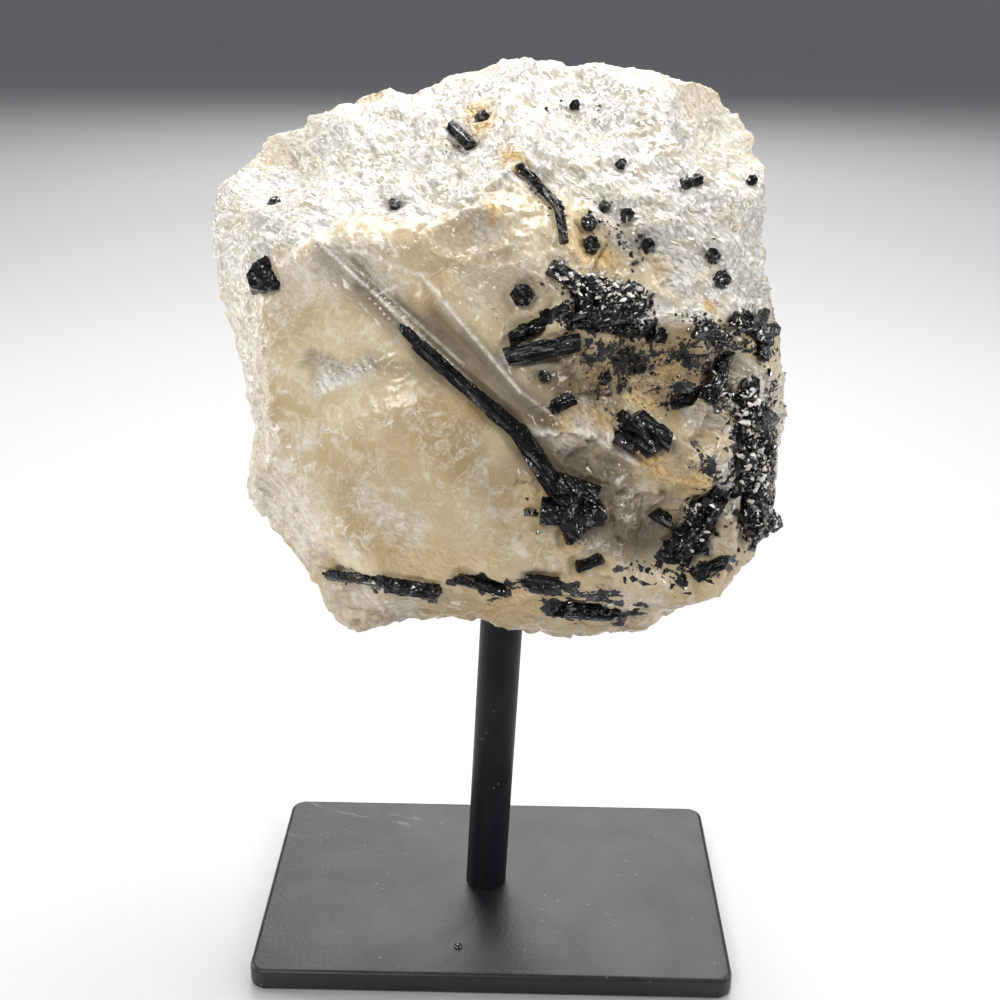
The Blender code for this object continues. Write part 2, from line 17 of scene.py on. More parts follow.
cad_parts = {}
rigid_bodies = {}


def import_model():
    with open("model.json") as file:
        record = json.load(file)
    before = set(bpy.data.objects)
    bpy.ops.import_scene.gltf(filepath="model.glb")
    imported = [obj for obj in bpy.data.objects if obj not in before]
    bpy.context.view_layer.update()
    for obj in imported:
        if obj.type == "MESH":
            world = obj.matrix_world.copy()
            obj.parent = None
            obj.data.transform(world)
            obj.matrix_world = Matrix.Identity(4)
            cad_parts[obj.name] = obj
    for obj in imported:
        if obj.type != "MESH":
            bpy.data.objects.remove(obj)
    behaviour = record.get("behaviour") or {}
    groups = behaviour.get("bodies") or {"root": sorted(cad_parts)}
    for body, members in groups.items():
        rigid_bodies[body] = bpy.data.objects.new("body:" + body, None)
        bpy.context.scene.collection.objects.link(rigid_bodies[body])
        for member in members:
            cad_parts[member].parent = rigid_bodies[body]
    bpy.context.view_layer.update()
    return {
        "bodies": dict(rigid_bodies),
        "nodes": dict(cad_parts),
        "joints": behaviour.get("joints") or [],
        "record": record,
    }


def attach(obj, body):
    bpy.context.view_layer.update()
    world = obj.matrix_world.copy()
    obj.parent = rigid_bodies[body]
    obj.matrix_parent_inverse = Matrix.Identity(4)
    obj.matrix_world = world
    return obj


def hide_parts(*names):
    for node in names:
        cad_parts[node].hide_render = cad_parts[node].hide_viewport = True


MM = 0.001

# The camera, in metres and degrees
EYE = (0.0037, -0.2312, 0.1824)
PITCH, YAW, ROLL = 22.14, -0.81, 0.64
LENS = 49.8

# The stand
PLATE_SIZE = (90.0, 55.0, 4.5)
PLATE_CORNER = 3.0
PLATE_EDGE = 0.9
ROD_DIAMETER = 8.0
ROD_FOOT = (-1.6, 1.3)
ROD_LEAN = math.radians(2.5)
ROD_TOP = 88.0
ROD_SINK = 1.0
ROD_SIDES = 96
CREASE = math.radians(35.0)
BEAD = (-6.3, -19.7, 1.7)

# Rubbed marks on the plate: their place, in metres, and the way that they lie
RUB_PLACE = (-0.028, 0.021, 0.0045)
RUB_TURN = math.radians(-20.0)

# Colours, linear: the quartz's, the tourmaline's and the stand's
DEEP_BODY, PALE_BODY = (0.53, 0.385, 0.20), (0.77, 0.645, 0.425)
WISP = (0.93, 0.87, 0.73)
# The frost's two colours: grey as painted shade on facets turned from the light, near white as painted
# glints
FROST_PAINTED_SHADE, FROST_PAINTED_GLINT = (0.56, 0.53, 0.47), (0.92, 0.91, 0.89)
# Smoky brown, also used as painted shade in the recess and along the underside
SMOKE_AND_SHADE = (0.15, 0.115, 0.075)
STREAK = (0.26, 0.23, 0.19)
VEIL = (0.95, 0.92, 0.85)
RUST, OCHRE = (0.42, 0.235, 0.075), (0.86, 0.64, 0.30)
# Near black of the seams and specks, which in the recess is also painted shade
SEAM_AND_SHADE = (0.012, 0.013, 0.015)
QUARTZ_TINT = (0.88, 0.78, 0.62, 1.0)
JET, COAL = (0.003, 0.0035, 0.0045), (0.010, 0.011, 0.013)
GROOVE_DUST = (0.34, 0.29, 0.20)
COAT_DARK, COAT_WORN = (0.007, 0.008, 0.010), (0.018, 0.019, 0.023)
COAT_DUST = (0.42, 0.42, 0.42)
FLOOR_DARK, FLOOR_LIGHT = (0.56, 0.56, 0.57), (0.60, 0.60, 0.61)
SKY = (0.86, 0.88, 0.92, 1.0)
SKY_STRENGTH = 0.22

# The lights: place and aim in metres, size, power in watts and colour
STONE_AIM = (0.0, 0.0, 0.12)
LIGHTS = {
    "overhead": ((0.05, 0.16, 0.62), STONE_AIM, 0.34, 3.1, (1.0, 1.0, 1.0)),
    "behind": ((0.0, 0.95, 0.80), (0.0, 0.0, 0.03), 0.9, 9.0, (1.0, 1.0, 1.0)),
    "front": ((-0.34, -0.62, 0.56), STONE_AIM, 0.30, 3.1, (1.0, 0.98, 0.95)),
    "glint": ((0.50, -0.30, 0.50), STONE_AIM, 0.08, 0.9, (1.0, 1.0, 1.0)),
    "left": ((-0.62, 0.16, 0.22), STONE_AIM, 0.30, 1.9, (1.0, 0.99, 0.96)),
    "right": ((0.60, 0.10, 0.34), STONE_AIM, 0.30, 1.45, (1.0, 0.99, 0.97)),
}

# How many times light is followed from surface to surface
ALL_BOUNCES, DIFFUSE_BOUNCES, GLOSSY_BOUNCES, CLEAR_BOUNCES = 5, 2, 2, 5

# The floor and its round backdrop, in metres
STAGE_REACH = 2.2
STAGE_SWEEP = 1.0
STAGE_SIDES = 96

# The stone's place, how far it reaches in front of and behind its outline, and how worn it is
STONE_CENTRE = (1.2, -2.0, 117.8)
TILT = math.radians(15.75)
FRONT_REACH = 39.0
BACK_REACH = 36.0
ROUNDNESS = 3.4
WEAR = 44.0
OUTLINE_ALLOWANCE = 1.018
VIEW_DISTANCE = 238.0

# The stone's fine mesh: cuts along a side of its cube, and how far its points are drawn forward
STONE_GRID = 127
FRONT_SHARE = 0.3

# The way that streaks, strokes and seams lie on the front
WINDOW_TURN = math.radians(-42.5)
STROKE_TURN = math.radians(-35.0)
SEAM_TURN = math.radians(-8.0)

# How far down, in metres, the dark specks turn into lying seams: where this starts and ends
LOW_SEAMS = (-0.033, -0.036)

# Fine grooves and chips on the tourmaline, in millimetres
SPLIT_ROUNDS = 6
SPLIT_LENGTH = 0.35
GROOVE_WIDTH = 0.55
GROOVE_LENGTH = 6.0
GROOVE_DEPTH = 0.22
CHIP_SIZE = 0.7
CHIP_DEPTH = 0.06
SWELL = 0.12
GROOVE_STRETCH = 0.14

# Corners of the stone's outline, (u, v), seen square on
OUTLINE = [
    (44.5, 4.5), (42.8, 30.0), (40.6, 35.2), (34.5, 42.0), (28.0, 43.8), (20.5, 46.3), (7.0, 47.2),
    (-1.5, 46.3), (-9.0, 45.2), (-13.0, 42.5), (-24.5, 40.6), (-28.5, 37.0), (-35.5, 35.6),
    (-42.0, 33.5), (-44.5, 28.5), (-48.0, 26.0), (-50.3, 20.0), (-46.5, 7.0), (-45.0, -5.0),
    (-42.0, -14.5), (-44.7, -26.5), (-35.5, -36.5), (-32.0, -40.5), (-27.0, -50.3), (-17.0, -48.0),
    (-8.0, -46.6), (10.0, -50.6), (23.0, -48.6), (29.0, -42.0), (37.0, -36.5), (47.6, -32.2),
    (46.2, -21.5), (48.4, -15.0), (49.2, -8.0), (47.3, -3.0),
]

# Broken faces of the stone: the way each one faces, and a point that it passes through
FACES = {
    "front": ((-0.10, -0.08, 1.00), (-8.0, -8.0, 31.5)),
    "front_left": ((-0.38, -0.10, 1.00), (-26.0, -8.0, 27.5)),
    "front_low": ((-0.15, -0.42, 1.00), (-12.0, -30.0, 27.5)),
    "left_edge": ((-0.92, -0.08, 0.42), (-43.0, 0.0, 12.0)),
    "upper_left": ((-0.18, 0.74, 0.65), (-15.0, 19.0, 27.5)),
    "upper_far_left": ((-0.62, 0.50, 0.60), (-42.5, 31.0, 6.0)),
    "upper_right": ((0.16, 0.68, 0.72), (17.0, 19.0, 27.5)),
    "upper_far_right": ((0.60, 0.55, 0.58), (38.0, 38.0, 6.0)),
    "shoulder": ((0.42, 0.18, 0.89), (27.0, 9.0, 23.0)),
    "right_edge": ((0.88, 0.10, 0.46), (41.0, 15.0, 8.0)),
    "lower_right": ((0.33, -0.20, 0.92), (22.0, -24.0, 25.0)),
    "lower_far_right": ((0.80, -0.12, 0.59), (41.5, -20.0, 13.0)),
    "underside_front": ((0.02, -0.885, 0.465), (0.0, -39.5, 21.0)),
    "underside_left": ((-0.52, -0.64, 0.57), (-35.0, -33.0, 11.0)),
    "back": ((0.10, 0.05, -1.00), (0.0, 0.0, -31.0)),
    "back_upper": ((0.05, 0.65, -0.76), (0.0, 26.0, -24.0)),
    "back_upper_left": ((-0.60, 0.45, -0.66), (-34.0, 24.0, -18.0)),
    "back_left": ((-0.78, -0.10, -0.62), (-38.0, -5.0, -17.0)),
    "back_right": ((0.72, 0.12, -0.68), (34.0, 8.0, -18.0)),
    "back_lower": ((0.10, -0.75, -0.66), (0.0, -36.0, -18.0)),
    "back_lower_right": ((0.62, -0.50, -0.60), (33.0, -31.0, -16.0)),
    "back_lower_left": ((-0.50, -0.60, -0.62), (-29.0, -33.0, -16.0)),
}

# Hollows struck out of the stone: the way from its middle, the radius they curve with, the depth
HOLLOWS = {
    "recess": ((22.0, -3.5, 27.0), 12.0, 5.0),
    "recess_right": ((33.0, -2.0, 20.0), 10.0, 4.5),
    "recess_left": ((12.0, -6.0, 30.0), 9.0, 2.4),
    "lens": ((-2.0, 14.0, 30.0), 42.0, 1.8),
    "low_left": ((-30.0, -24.0, 18.0), 38.0, 1.6),
    "step_right": ((24.0, -26.0, 24.0), 16.0, 2.2),
    "top_left": ((-31.0, 30.0, 14.0), 20.0, 1.8),
    "top_middle": ((6.0, 34.0, 18.0), 30.0, 1.6),
    "top_right": ((30.0, 30.0, 12.0), 26.0, 2.4),
    "top": ((-8.0, 38.0, -20.0), 26.0, 2.6),
    "back_hollow": ((-8.0, 8.0, -30.0), 34.0, 3.2),
    "back_chip": ((22.0, -16.0, -26.0), 20.0, 3.0),
    "back_low_chip": ((-22.0, -22.0, -24.0), 22.0, 3.0),
    "left_chip": ((-44.0, 4.0, -10.0), 24.0, 2.4),
    "right_chip": ((44.0, 12.0, -10.0), 22.0, 2.6),
}

# Raised crests and sunk grooves on the front: two ends, (u, v), height and half width
CRESTS = {
    "window_crest": ((-8.0, 7.5), (14.0, -14.5), 1.4, 3.4),
    "window_edge": ((-27.0, 14.5), (-1.0, -9.5), 0.5, 1.8),
    "window_groove": ((-24.0, 12.5), (5.0, -15.0), -0.9, 3.2),
    "veil_step": ((-33.0, -14.5), (-13.0, -9.0), 0.8, 3.5),
    "frost_ridge": ((4.5, -12.5), (15.0, -13.5), 1.2, 2.6),
    "lens_rim": ((7.5, 22.5), (8.5, 14.0), 1.6, 3.0),
    "upper_ridge": ((-38.0, 22.0), (-14.0, 16.0), 0.8, 4.5),
}
CREST_START = 6.0
CREST_FADE = 8.0

# The broken surface: bowls and tilted steps in cells, (cell size, depth). The first two of each are
# the solid's own, and the finer ones are only in the looks.
BOWLS = [(24.0, 2.4), (9.0, 0.9)]
STEPS = [(13.0, 1.1), (6.5, 0.6)]
FINE_BOWLS = [(4.6, 0.50)]
FINE_STEPS = [(3.6, 0.85), (1.9, 0.42)]
BOWL_RISE = 1.6
BOWL_EDGE = 0.8
BOWL_SINK = 0.5
STEP_SHIFT = (31.7, 5.3, 12.9)
STEP_SPREAD = 7.0

# The smooth face at the left of the front: its middle, its spread and how smooth it is
SMOOTH_PLACE = (-17.0, -10.0)
SMOOTH_SPREAD = (21.0, 22.0)
SMOOTH_SHARE = 0.82
SMOOTH_EDGE = 1.6

# Fine crests that only the looks have: two ends, height and half width
FINE_CRESTS = {
    "window_line": ((-32.0, 17.2), (-1.0, -11.2), 0.35, 0.7),
    "window_line_upper": ((-14.0, 11.4), (3.0, -8.0), 0.45, 0.8),
    "window_step": ((-22.0, 9.0), (-7.0, -3.5), -0.5, 1.0),
    "glass_edge": ((14.4, -14.6), (24.5, -20.6), 0.9, 1.3),
    "glass_edge_low": ((8.0, -18.0), (17.0, -24.5), 0.5, 1.1),
    "block_top": ((19.5, -23.4), (25.5, -24.2), 0.9, 1.6),
    "block_side": ((26.0, -24.5), (28.0, -28.5), 0.7, 1.4),
    "wedge": ((31.6, -20.6), (36.5, -16.7), 1.1, 1.8),
    "ledge": ((24.0, 3.4), (39.0, 3.0), 1.2, 1.8),
    "low_ripple": ((11.9, -32.5), (26.1, -40.0), 0.6, 1.8),
    "bottom_edge": ((-31.0, -39.0), (14.0, -42.5), 0.7, 1.6),
}

# Marks on the front, read as (across, up) in the plane of the outline. The frosted zone lies above
# this line.
FROST_LINE = [(-50.0, 8.0), (-44.0, 12.0), (-38.0, 14.5), (-33.0, 18.0), (-24.0, 22.0), (-11.0, 20.0),
              (1.0, 27.0), (9.0, 25.0), (19.0, 18.0), (30.0, 9.0), (46.0, 4.0)]

# Places where a mark lies along a line: two ends, half width and strength
FROST_BANDS = [
    ((5.0, -15.6), (14.6, -14.0), 1.5, 1.0),
    ((-46.0, 12.0), (-43.5, -14.0), 3.4, 0.7),
    ((-43.0, -24.0), (-34.0, -36.0), 2.6, 0.55),
    ((-31.0, -6.4), (-24.0, -4.4), 1.6, 0.8),
    ((24.0, 7.6), (34.0, 5.4), 2.4, 1.0),
    ((37.0, -3.0), (46.0, -7.0), 3.6, 0.9),
    ((39.5, -21.0), (42.0, -29.0), 2.6, 0.9),
    ((32.5, -12.0), (36.5, -11.0), 1.8, 0.9),
    ((-10.0, 14.0), (-3.0, 8.0), 3.0, 0.35),
    ((-8.0, 19.0), (3.0, 11.0), 7.0, 0.32),
    ((-24.0, -26.0), (-16.0, -33.0), 3.4, 0.4),
    ((0.0, -2.6), (12.0, -3.4), 0.9, 0.7),
    ((-29.0, -43.0), (-18.0, -47.0), 3.4, 0.45),
    ((-41.0, 11.0), (-22.0, 14.0), 5.0, 0.46),
    ((-43.0, -19.0), (-35.0, -29.0), 4.5, 0.36),
    ((-9.0, 24.0), (-3.0, 22.0), 3.5, 0.6),
]
CLEAR_BANDS = [
    ((-30.0, 15.0), (2.0, -13.0), 3.0, 0.85),
    ((-12.0, 4.0), (8.0, -14.0), 2.6, 0.8),
    ((-4.0, 20.0), (2.0, 10.0), 7.5, 0.22),
    ((8.0, -18.0), (21.0, -29.0), 6.0, 0.8),
    ((18.0, -17.0), (30.0, -24.0), 4.5, 0.6),
    ((8.0, -4.0), (14.0, -8.0), 4.0, 0.6),
    ((16.0, -32.0), (26.0, -33.0), 3.5, 0.7),
]
# Smoky quartz; the bands in the recess under the ledge and along the underside are painted shade
SMOKE_AND_SHADE_BANDS = [
    ((-33.0, -4.0), (-22.0, -4.5), 1.4, 0.65),
    ((-23.0, -4.5), (-12.5, -5.0), 2.2, 0.5),
    ((-26.0, 13.0), (-21.0, 9.0), 1.0, 0.75),
    ((-21.5, 8.5), (-16.0, 3.5), 0.8, 0.75),
    ((-15.5, 3.6), (-7.5, -3.0), 1.0, 0.6),
    ((-6.0, 0.5), (4.0, -5.0), 2.0, 0.45),
    ((-12.0, -2.0), (5.0, -16.0), 1.4, 0.35),
    ((8.0, -18.5), (19.0, -24.0), 4.2, 0.58),
    ((14.0, -31.0), (28.0, -33.0), 3.6, 0.75),
    ((13.0, -4.5), (34.0, -5.5), 6.2, 1.0),
    ((22.0, -30.0), (31.0, -33.0), 4.0, 0.5),
    ((8.0, -4.0), (12.0, -8.0), 3.0, 0.5),
    ((28.0, -16.0), (33.0, -18.0), 2.4, 0.5),
    ((-15.0, -30.0), (6.0, -34.0), 6.0, 0.15),
    ((20.0, 16.0), (24.0, 20.0), 2.2, 0.5),
    ((24.0, 19.0), (33.0, 16.0), 5.0, 0.24),
    ((-6.0, -18.0), (1.0, -28.0), 4.5, 0.34),
    ((17.0, -8.5), (32.0, -10.5), 2.8, 0.66),
    ((1.0, -7.5), (14.0, -13.5), 3.2, 0.42),
    ((-2.0, -4.0), (10.0, -6.5), 2.0, 0.30),
    ((33.0, -17.0), (38.0, -22.0), 2.6, 0.45),
    ((-12.0, -36.0), (6.0, -38.0), 2.6, 0.22),
    ((14.0, -44.5), (32.0, -43.0), 2.4, 0.25),
    ((16.0, 36.0), (22.0, 28.0), 5.0, 0.12),
    ((22.0, -36.5), (40.0, -34.0), 2.2, 0.34),
    ((37.0, -26.0), (40.0, -36.0), 2.4, 0.30),
    ((24.0, -12.0), (30.0, -13.0), 2.4, 0.35),
]
VEIL_BANDS = [
    ((-39.0, -18.0), (-14.5, -11.5), 1.0, 0.9),
    ((-38.0, -23.0), (-33.0, -21.0), 3.0, 0.75),
    ((-36.0, -30.0), (-26.0, -34.0), 2.4, 0.7),
    ((-24.0, -26.0), (-17.0, -33.0), 3.4, 0.65),
    ((-19.0, -1.0), (-17.5, -8.0), 1.4, 0.8),
    ((-31.0, -6.0), (-24.0, -4.0), 1.6, 0.75),
    ((-28.0, 2.0), (-24.0, -10.0), 5.0, 0.35),
    ((-41.0, 2.0), (-38.0, -26.0), 6.5, 0.6),
    ((-30.0, -18.0), (-22.0, -24.0), 5.0, 0.35),
    ((-36.0, 14.0), (-30.0, 2.0), 4.0, 0.3),
    ((-10.0, -24.0), (0.0, -30.0), 5.0, 0.3),
    ((-14.0, -12.0), (-6.0, -20.0), 4.0, 0.4),
    ((23.0, -25.4), (23.4, -27.4), 3.2, 0.7),
    ((31.6, -20.6), (36.5, -16.7), 1.9, 0.75),
    ((11.9, -32.5), (26.1, -40.0), 1.8, 0.6),
    ((-3.0, -37.0), (8.0, -36.0), 3.5, 0.35),
    ((-45.0, 12.0), (-43.5, -14.0), 3.0, 0.95),
    ((-42.0, -20.0), (-36.0, -34.0), 2.2, 0.6),
    ((24.0, 8.0), (33.0, 5.5), 1.8, 0.9),
    ((40.5, -22.0), (41.5, -23.0), 1.6, 1.0),
    ((39.0, -27.0), (40.5, -28.5), 1.6, 1.0),
    ((43.0, -31.0), (44.0, -32.0), 1.2, 0.8),
    ((8.5, 22.0), (9.0, 13.0), 1.0, 0.7),
    ((34.0, -37.5), (42.0, -31.5), 2.6, 0.55),
    ((20.0, -45.0), (34.0, -42.0), 2.6, 0.4),
]
LINE_BANDS = [
    ((-32.0, 17.2), (-1.0, -11.2), 0.34, 1.0),
    ((-30.5, 17.0), (-7.0, -3.4), 0.24, 0.8),
    ((-27.0, 16.0), (-19.0, 8.4), 0.2, 0.7),
    ((-14.0, 11.4), (3.0, -8.0), 0.3, 0.9),
    ((3.0, -8.0), (15.5, -16.8), 0.24, 0.6),
    ((-21.5, 8.6), (-18.5, 9.6), 0.3, 0.8),
    ((-33.0, 18.2), (-14.0, 11.4), 0.26, 0.6),
    ((-15.6, 4.0), (-7.0, -3.6), 0.24, 0.7),
    ((5.4, -15.4), (9.4, -15.0), 0.5, 1.0),
    ((9.4, -15.0), (14.6, -14.1), 0.4, 1.0),
    ((14.4, -14.6), (24.5, -20.6), 0.45, 1.0),
    ((16.6, -14.0), (21.0, -16.6), 0.3, 0.7),
    ((24.5, -20.6), (19.6, -23.0), 0.35, 0.8),
]
STAIN_BANDS = [
    ((-7.0, 38.0), (-5.0, 36.0), 2.3, 1.0),
    ((0.8, 31.6), (2.5, 30.5), 1.8, 1.0),
    ((-1.6, 22.2), (-1.3, 21.8), 0.7, 1.0),
    ((14.6, 17.0), (17.6, 14.6), 1.7, 1.0),
    ((13.0, 15.6), (15.0, 13.4), 1.4, 0.8),
    ((11.0, 19.0), (12.0, 17.0), 1.0, 0.7),
    ((25.0, 15.5), (26.5, 13.5), 1.3, 0.7),
    ((34.6, 8.6), (35.6, 7.4), 1.3, 1.0),
    ((36.5, 3.5), (38.0, 2.0), 1.2, 0.8),
    ((22.5, -8.3), (24.6, -9.4), 1.3, 1.0),
    ((18.5, -5.5), (20.0, -4.5), 1.2, 0.8),
    ((26.0, -20.5), (33.0, -22.8), 2.6, 1.0),
    ((25.0, -19.6), (28.0, -20.6), 2.0, 0.9),
    ((11.4, -13.2), (17.0, -11.8), 1.6, 0.7),
    ((5.0, -25.0), (8.0, -29.5), 2.2, 0.6),
    ((12.2, -33.6), (13.4, -34.4), 1.0, 0.9),
    ((3.0, 7.0), (6.0, 3.0), 0.8, 0.6),
    ((15.0, -3.0), (35.0, -5.0), 4.6, 0.5),
    ((-3.0, -45.0), (18.0, -46.5), 1.8, 0.6),
    ((-20.0, -36.0), (-2.0, -38.5), 2.6, 0.45),
]
# Dark tourmaline specks; the bands in the recess under the ledge are also painted shade
DARK_BANDS = [
    ((10.0, 10.6), (23.0, 6.8), 2.2, 0.62),
    ((2.0, 1.4), (13.0, 8.0), 0.9, 0.9),
    ((14.0, 3.0), (24.0, 2.5), 2.6, 0.45),
    ((33.0, 4.0), (46.0, 0.5), 2.0, 0.55),
    ((14.0, -1.5), (35.0, -2.5), 3.2, 0.62),
    ((16.0, -6.5), (32.0, -6.5), 2.4, 0.48),
    ((17.0, -9.5), (30.0, -10.0), 2.0, 0.40),
    ((33.0, -18.0), (37.5, -22.5), 2.2, 0.66),
    ((12.0, 4.6), (25.0, 3.4), 2.6, 0.8),
    ((36.0, 2.0), (45.0, 0.0), 2.6, 0.6),
    ((36.5, 0.0), (37.5, -8.0), 1.4, 0.7),
    ((29.5, -8.4), (36.5, -8.6), 1.4, 0.8),
    ((41.0, -10.0), (45.0, -33.0), 3.6, 0.72),
    ((46.5, -6.0), (47.5, -30.0), 2.6, 0.72),
    ((31.0, -35.0), (37.0, -26.0), 2.6, 0.7),
    ((-31.0, -40.0), (-19.0, -42.0), 0.5, 0.9),
    ((-21.0, -42.2), (-10.5, -43.2), 1.1, 0.9),
    ((-8.5, -40.6), (1.5, -43.0), 0.7, 0.85),
    ((-3.0, -43.4), (3.0, -43.6), 0.8, 0.7),
    ((1.6, -41.4), (14.0, -42.4), 1.0, 0.85),
    ((10.0, -42.8), (21.0, -42.6), 1.0, 0.7),
    ((8.0, -45.8), (22.0, -46.2), 1.8, 0.85),
    ((20.0, -38.9), (29.0, -36.6), 0.5, 0.85),
    ((22.0, -41.2), (33.0, -38.6), 0.45, 0.85),
    ((30.0, -41.4), (40.0, -37.8), 1.0, 0.9),
]

# Tourmaline grains too small for the solids: two ends, spread, count, smallest and largest size
GRAIN_BANDS = [
    ((14.0, 22.0), (24.0, 16.0), 5.0, 60, (0.45, 1.5)),
    ((2.0, 30.2), (10.0, 18.0), 0.8, 34, (0.35, 0.9)),
    ((9.0, 11.6), (24.5, 6.8), 2.6, 90, (0.6, 1.9)),
    ((3.0, 2.0), (14.0, 8.0), 0.8, 40, (0.5, 1.3)),
    ((11.0, 5.0), (25.5, 3.6), 2.6, 190, (0.6, 2.0)),
    ((14.0, -1.0), (34.0, -2.0), 3.6, 90, (0.4, 1.5)),
    ((14.0, -6.0), (30.0, -7.0), 2.6, 36, (0.3, 1.0)),
    ((31.0, 4.0), (46.0, 0.5), 2.2, 64, (0.5, 1.7)),
    ((37.0, 0.0), (37.0, -9.0), 1.6, 40, (0.5, 1.6)),
    ((41.0, -8.0), (45.0, -35.0), 4.4, 260, (0.7, 2.4)),
    ((47.0, -3.0), (47.5, -32.0), 3.0, 130, (0.7, 2.2)),
    ((30.5, -36.0), (37.5, -24.0), 3.4, 130, (0.6, 2.1)),
    ((7.0, -28.0), (16.0, -28.0), 3.2, 40, (0.7, 1.9)),
    ((-31.0, -40.2), (-10.5, -43.2), 0.9, 60, (0.4, 1.4)),
    ((-8.5, -40.6), (1.5, -43.2), 0.7, 30, (0.4, 1.1)),
    ((3.0, -41.2), (19.0, -43.0), 1.2, 50, (0.4, 1.3)),
    ((10.0, -45.6), (20.0, -46.6), 1.6, 60, (0.5, 1.7)),
    ((22.0, -38.2), (40.0, -39.2), 1.2, 50, (0.4, 1.3)),
    ((31.0, 27.6), (33.0, 27.0), 1.2, 8, (0.4, 0.9)),
    ((34.0, 16.0), (37.0, 11.0), 1.6, 16, (0.4, 1.0)),
    ((-11.0, 30.0), (4.0, 38.0), 3.0, 10, (0.3, 0.7)),
    ((-20.0, 16.0), (4.0, -2.0), 5.0, 10, (0.25, 0.5)),
    ((6.0, 40.0), (16.0, 38.0), 2.5, 12, (0.4, 0.9)),
    ((0.0, -4.0), (12.0, -12.0), 4.0, 8, (0.3, 0.6)),
]
GRAIN_SINK = 0.25

# White quartz between the grains at the right: two ends, spread, count, smallest and largest size
CHIP_BANDS = [
    ((42.0, -6.0), (46.0, -33.0), 4.0, 90, (0.7, 1.9)),
    ((39.0, -6.0), (47.5, -30.0), 3.6, 240, (0.35, 1.3)),
    ((47.5, -4.0), (48.0, -26.0), 1.4, 90, (0.5, 1.6)),
    ((38.0, -20.0), (40.0, -30.0), 2.2, 34, (0.8, 2.0)),
    ((31.0, -26.0), (36.0, -35.0), 2.6, 40, (0.4, 1.2)),
    ((9.0, 13.0), (24.0, 9.0), 3.2, 170, (0.4, 1.4)),
    ((12.0, 8.0), (26.0, 4.0), 3.0, 60, (0.4, 1.1)),
    ((30.0, 6.0), (46.0, 2.0), 2.2, 50, (0.4, 1.3)),
    ((36.0, 4.0), (44.0, 2.0), 2.4, 20, (0.6, 1.5)),
]

# Where the quartz is broken in sharp blocks: two ends, half width and strength; and the breaks there,
# (cell size, depth)
BLOCKY_BANDS = [
    ((10.0, -19.0), (30.0, -22.0), 6.5, 1.0),
    ((20.0, -29.0), (30.0, -33.0), 5.0, 0.8),
    ((34.0, -12.0), (40.0, -20.0), 4.5, 0.9),
    ((16.0, -3.0), (34.0, -5.0), 5.0, 0.7),
]
BLOCKS = [(6.5, 2.2), (3.1, 0.9)]

# How far marks are shifted to make their edges ragged: size of the shifts, and their reach. Blender
# takes its noise vectors from the clock unless it is given a seed.
RAGGED = [(7.0, 2.6), (2.4, 1.2)]
RAGGED_SEED = 11

# Where the front's marks begin and how fast they come in, out along w, and the frost's soft edge
MARKS_START, MARKS_FADE = -2.0, 6.0
FROST_EDGE = 3.0

# Patches round the sides and the back: the sizes of the noises, and how much each mark has of itself,
# of the broad noise and of the ragged noise, and its most
PATCH_SIZE, RAGGED_SIZE, RUST_SIZE = 21.0, 6.5, 15.0
PATCHES = {
    "frost": (0.60, 1.3, 0.45, 1.0),
    "smoke_and_shade": (-0.25, -1.6, 0.5, 0.8),
    "clear": (-0.20, -1.4, -0.4, 0.7),
}

# The quartz is calm near a crystal, and sinks a little beside it
CALM_REACH = 2.5
CALM_LEAST = 0.1
MOAT_REACH = 1.5
MOAT_DEPTH = 0.8

# Crystals whose upper end goes down into the clear quartz: its two ends, and how deep
SUNK_ENDS = {"crystal_long": ((-23.0, 8.6), (-13.5, -0.5), 2.2)}


def unit(vector):
    """The vector scaled to length one."""
    vector = np.asarray(vector, float)
    return vector / np.linalg.norm(vector)


def outline_reach(across, up):
    """Distance from the outline's middle to its edge along each direction (across, up)."""
    corners = sorted(OUTLINE, key=lambda corner: math.atan2(corner[1], corner[0]))
    corners = np.array(corners)
    angles = np.arctan2(corners[:, 1], corners[:, 0])
    ends = np.searchsorted(angles, np.arctan2(up, across)) % len(corners)
    start = corners[ends - 1]
    side = corners[ends] - start
    level = across * side[:, 1] - up * side[:, 0]
    return (start[:, 0] * side[:, 1] - start[:, 1] * side[:, 0]) / level


def body_reach(ways):
    """Distance from the stone's middle to its broken faces along each unit way (u, v, w)."""
    flat = np.hypot(ways[:, 0], ways[:, 1])
    turn = np.arctan2(ways[:, 1], ways[:, 0])
    rim = outline_reach(np.cos(turn), np.sin(turn)) * OUTLINE_ALLOWANCE
    depth = np.where(ways[:, 2] > 0.0, FRONT_REACH, BACK_REACH)
    nearness = (flat / rim) ** ROUNDNESS + (np.abs(ways[:, 2]) / depth) ** ROUNDNESS
    nearness = nearness ** (WEAR / ROUNDNESS)
    for facing, point in FACES.values():
        normal = unit(facing)
        nearness = nearness + np.maximum(ways @ normal / (normal @ np.array(point)), 0.0) ** WEAR
    return nearness ** (-1.0 / WEAR)


def strike_hollows(ways, reach):
    """The reach after the round hollows are struck out."""
    for toward, radius, depth in HOLLOWS.values():
        way = unit(toward)
        centre = way * (body_reach(way[None, :])[0] + radius - depth)
        along = ways @ centre
        inside = along ** 2 - (centre @ centre - radius ** 2)
        entry = along - np.sqrt(np.maximum(inside, 0.0))
        reach = np.where((inside > 0.0) & (along > 0.0), np.minimum(reach, entry), reach)
    return reach


def away_from(points, start, end):
    """Distance of points (across, up) from the line between two ends."""
    start = np.array(start)
    run = np.array(end) - start
    share = np.clip(((points - start) @ run) / (run @ run), 0.0, 1.0)
    return np.linalg.norm(points - start - share[:, None] * run, axis=1)


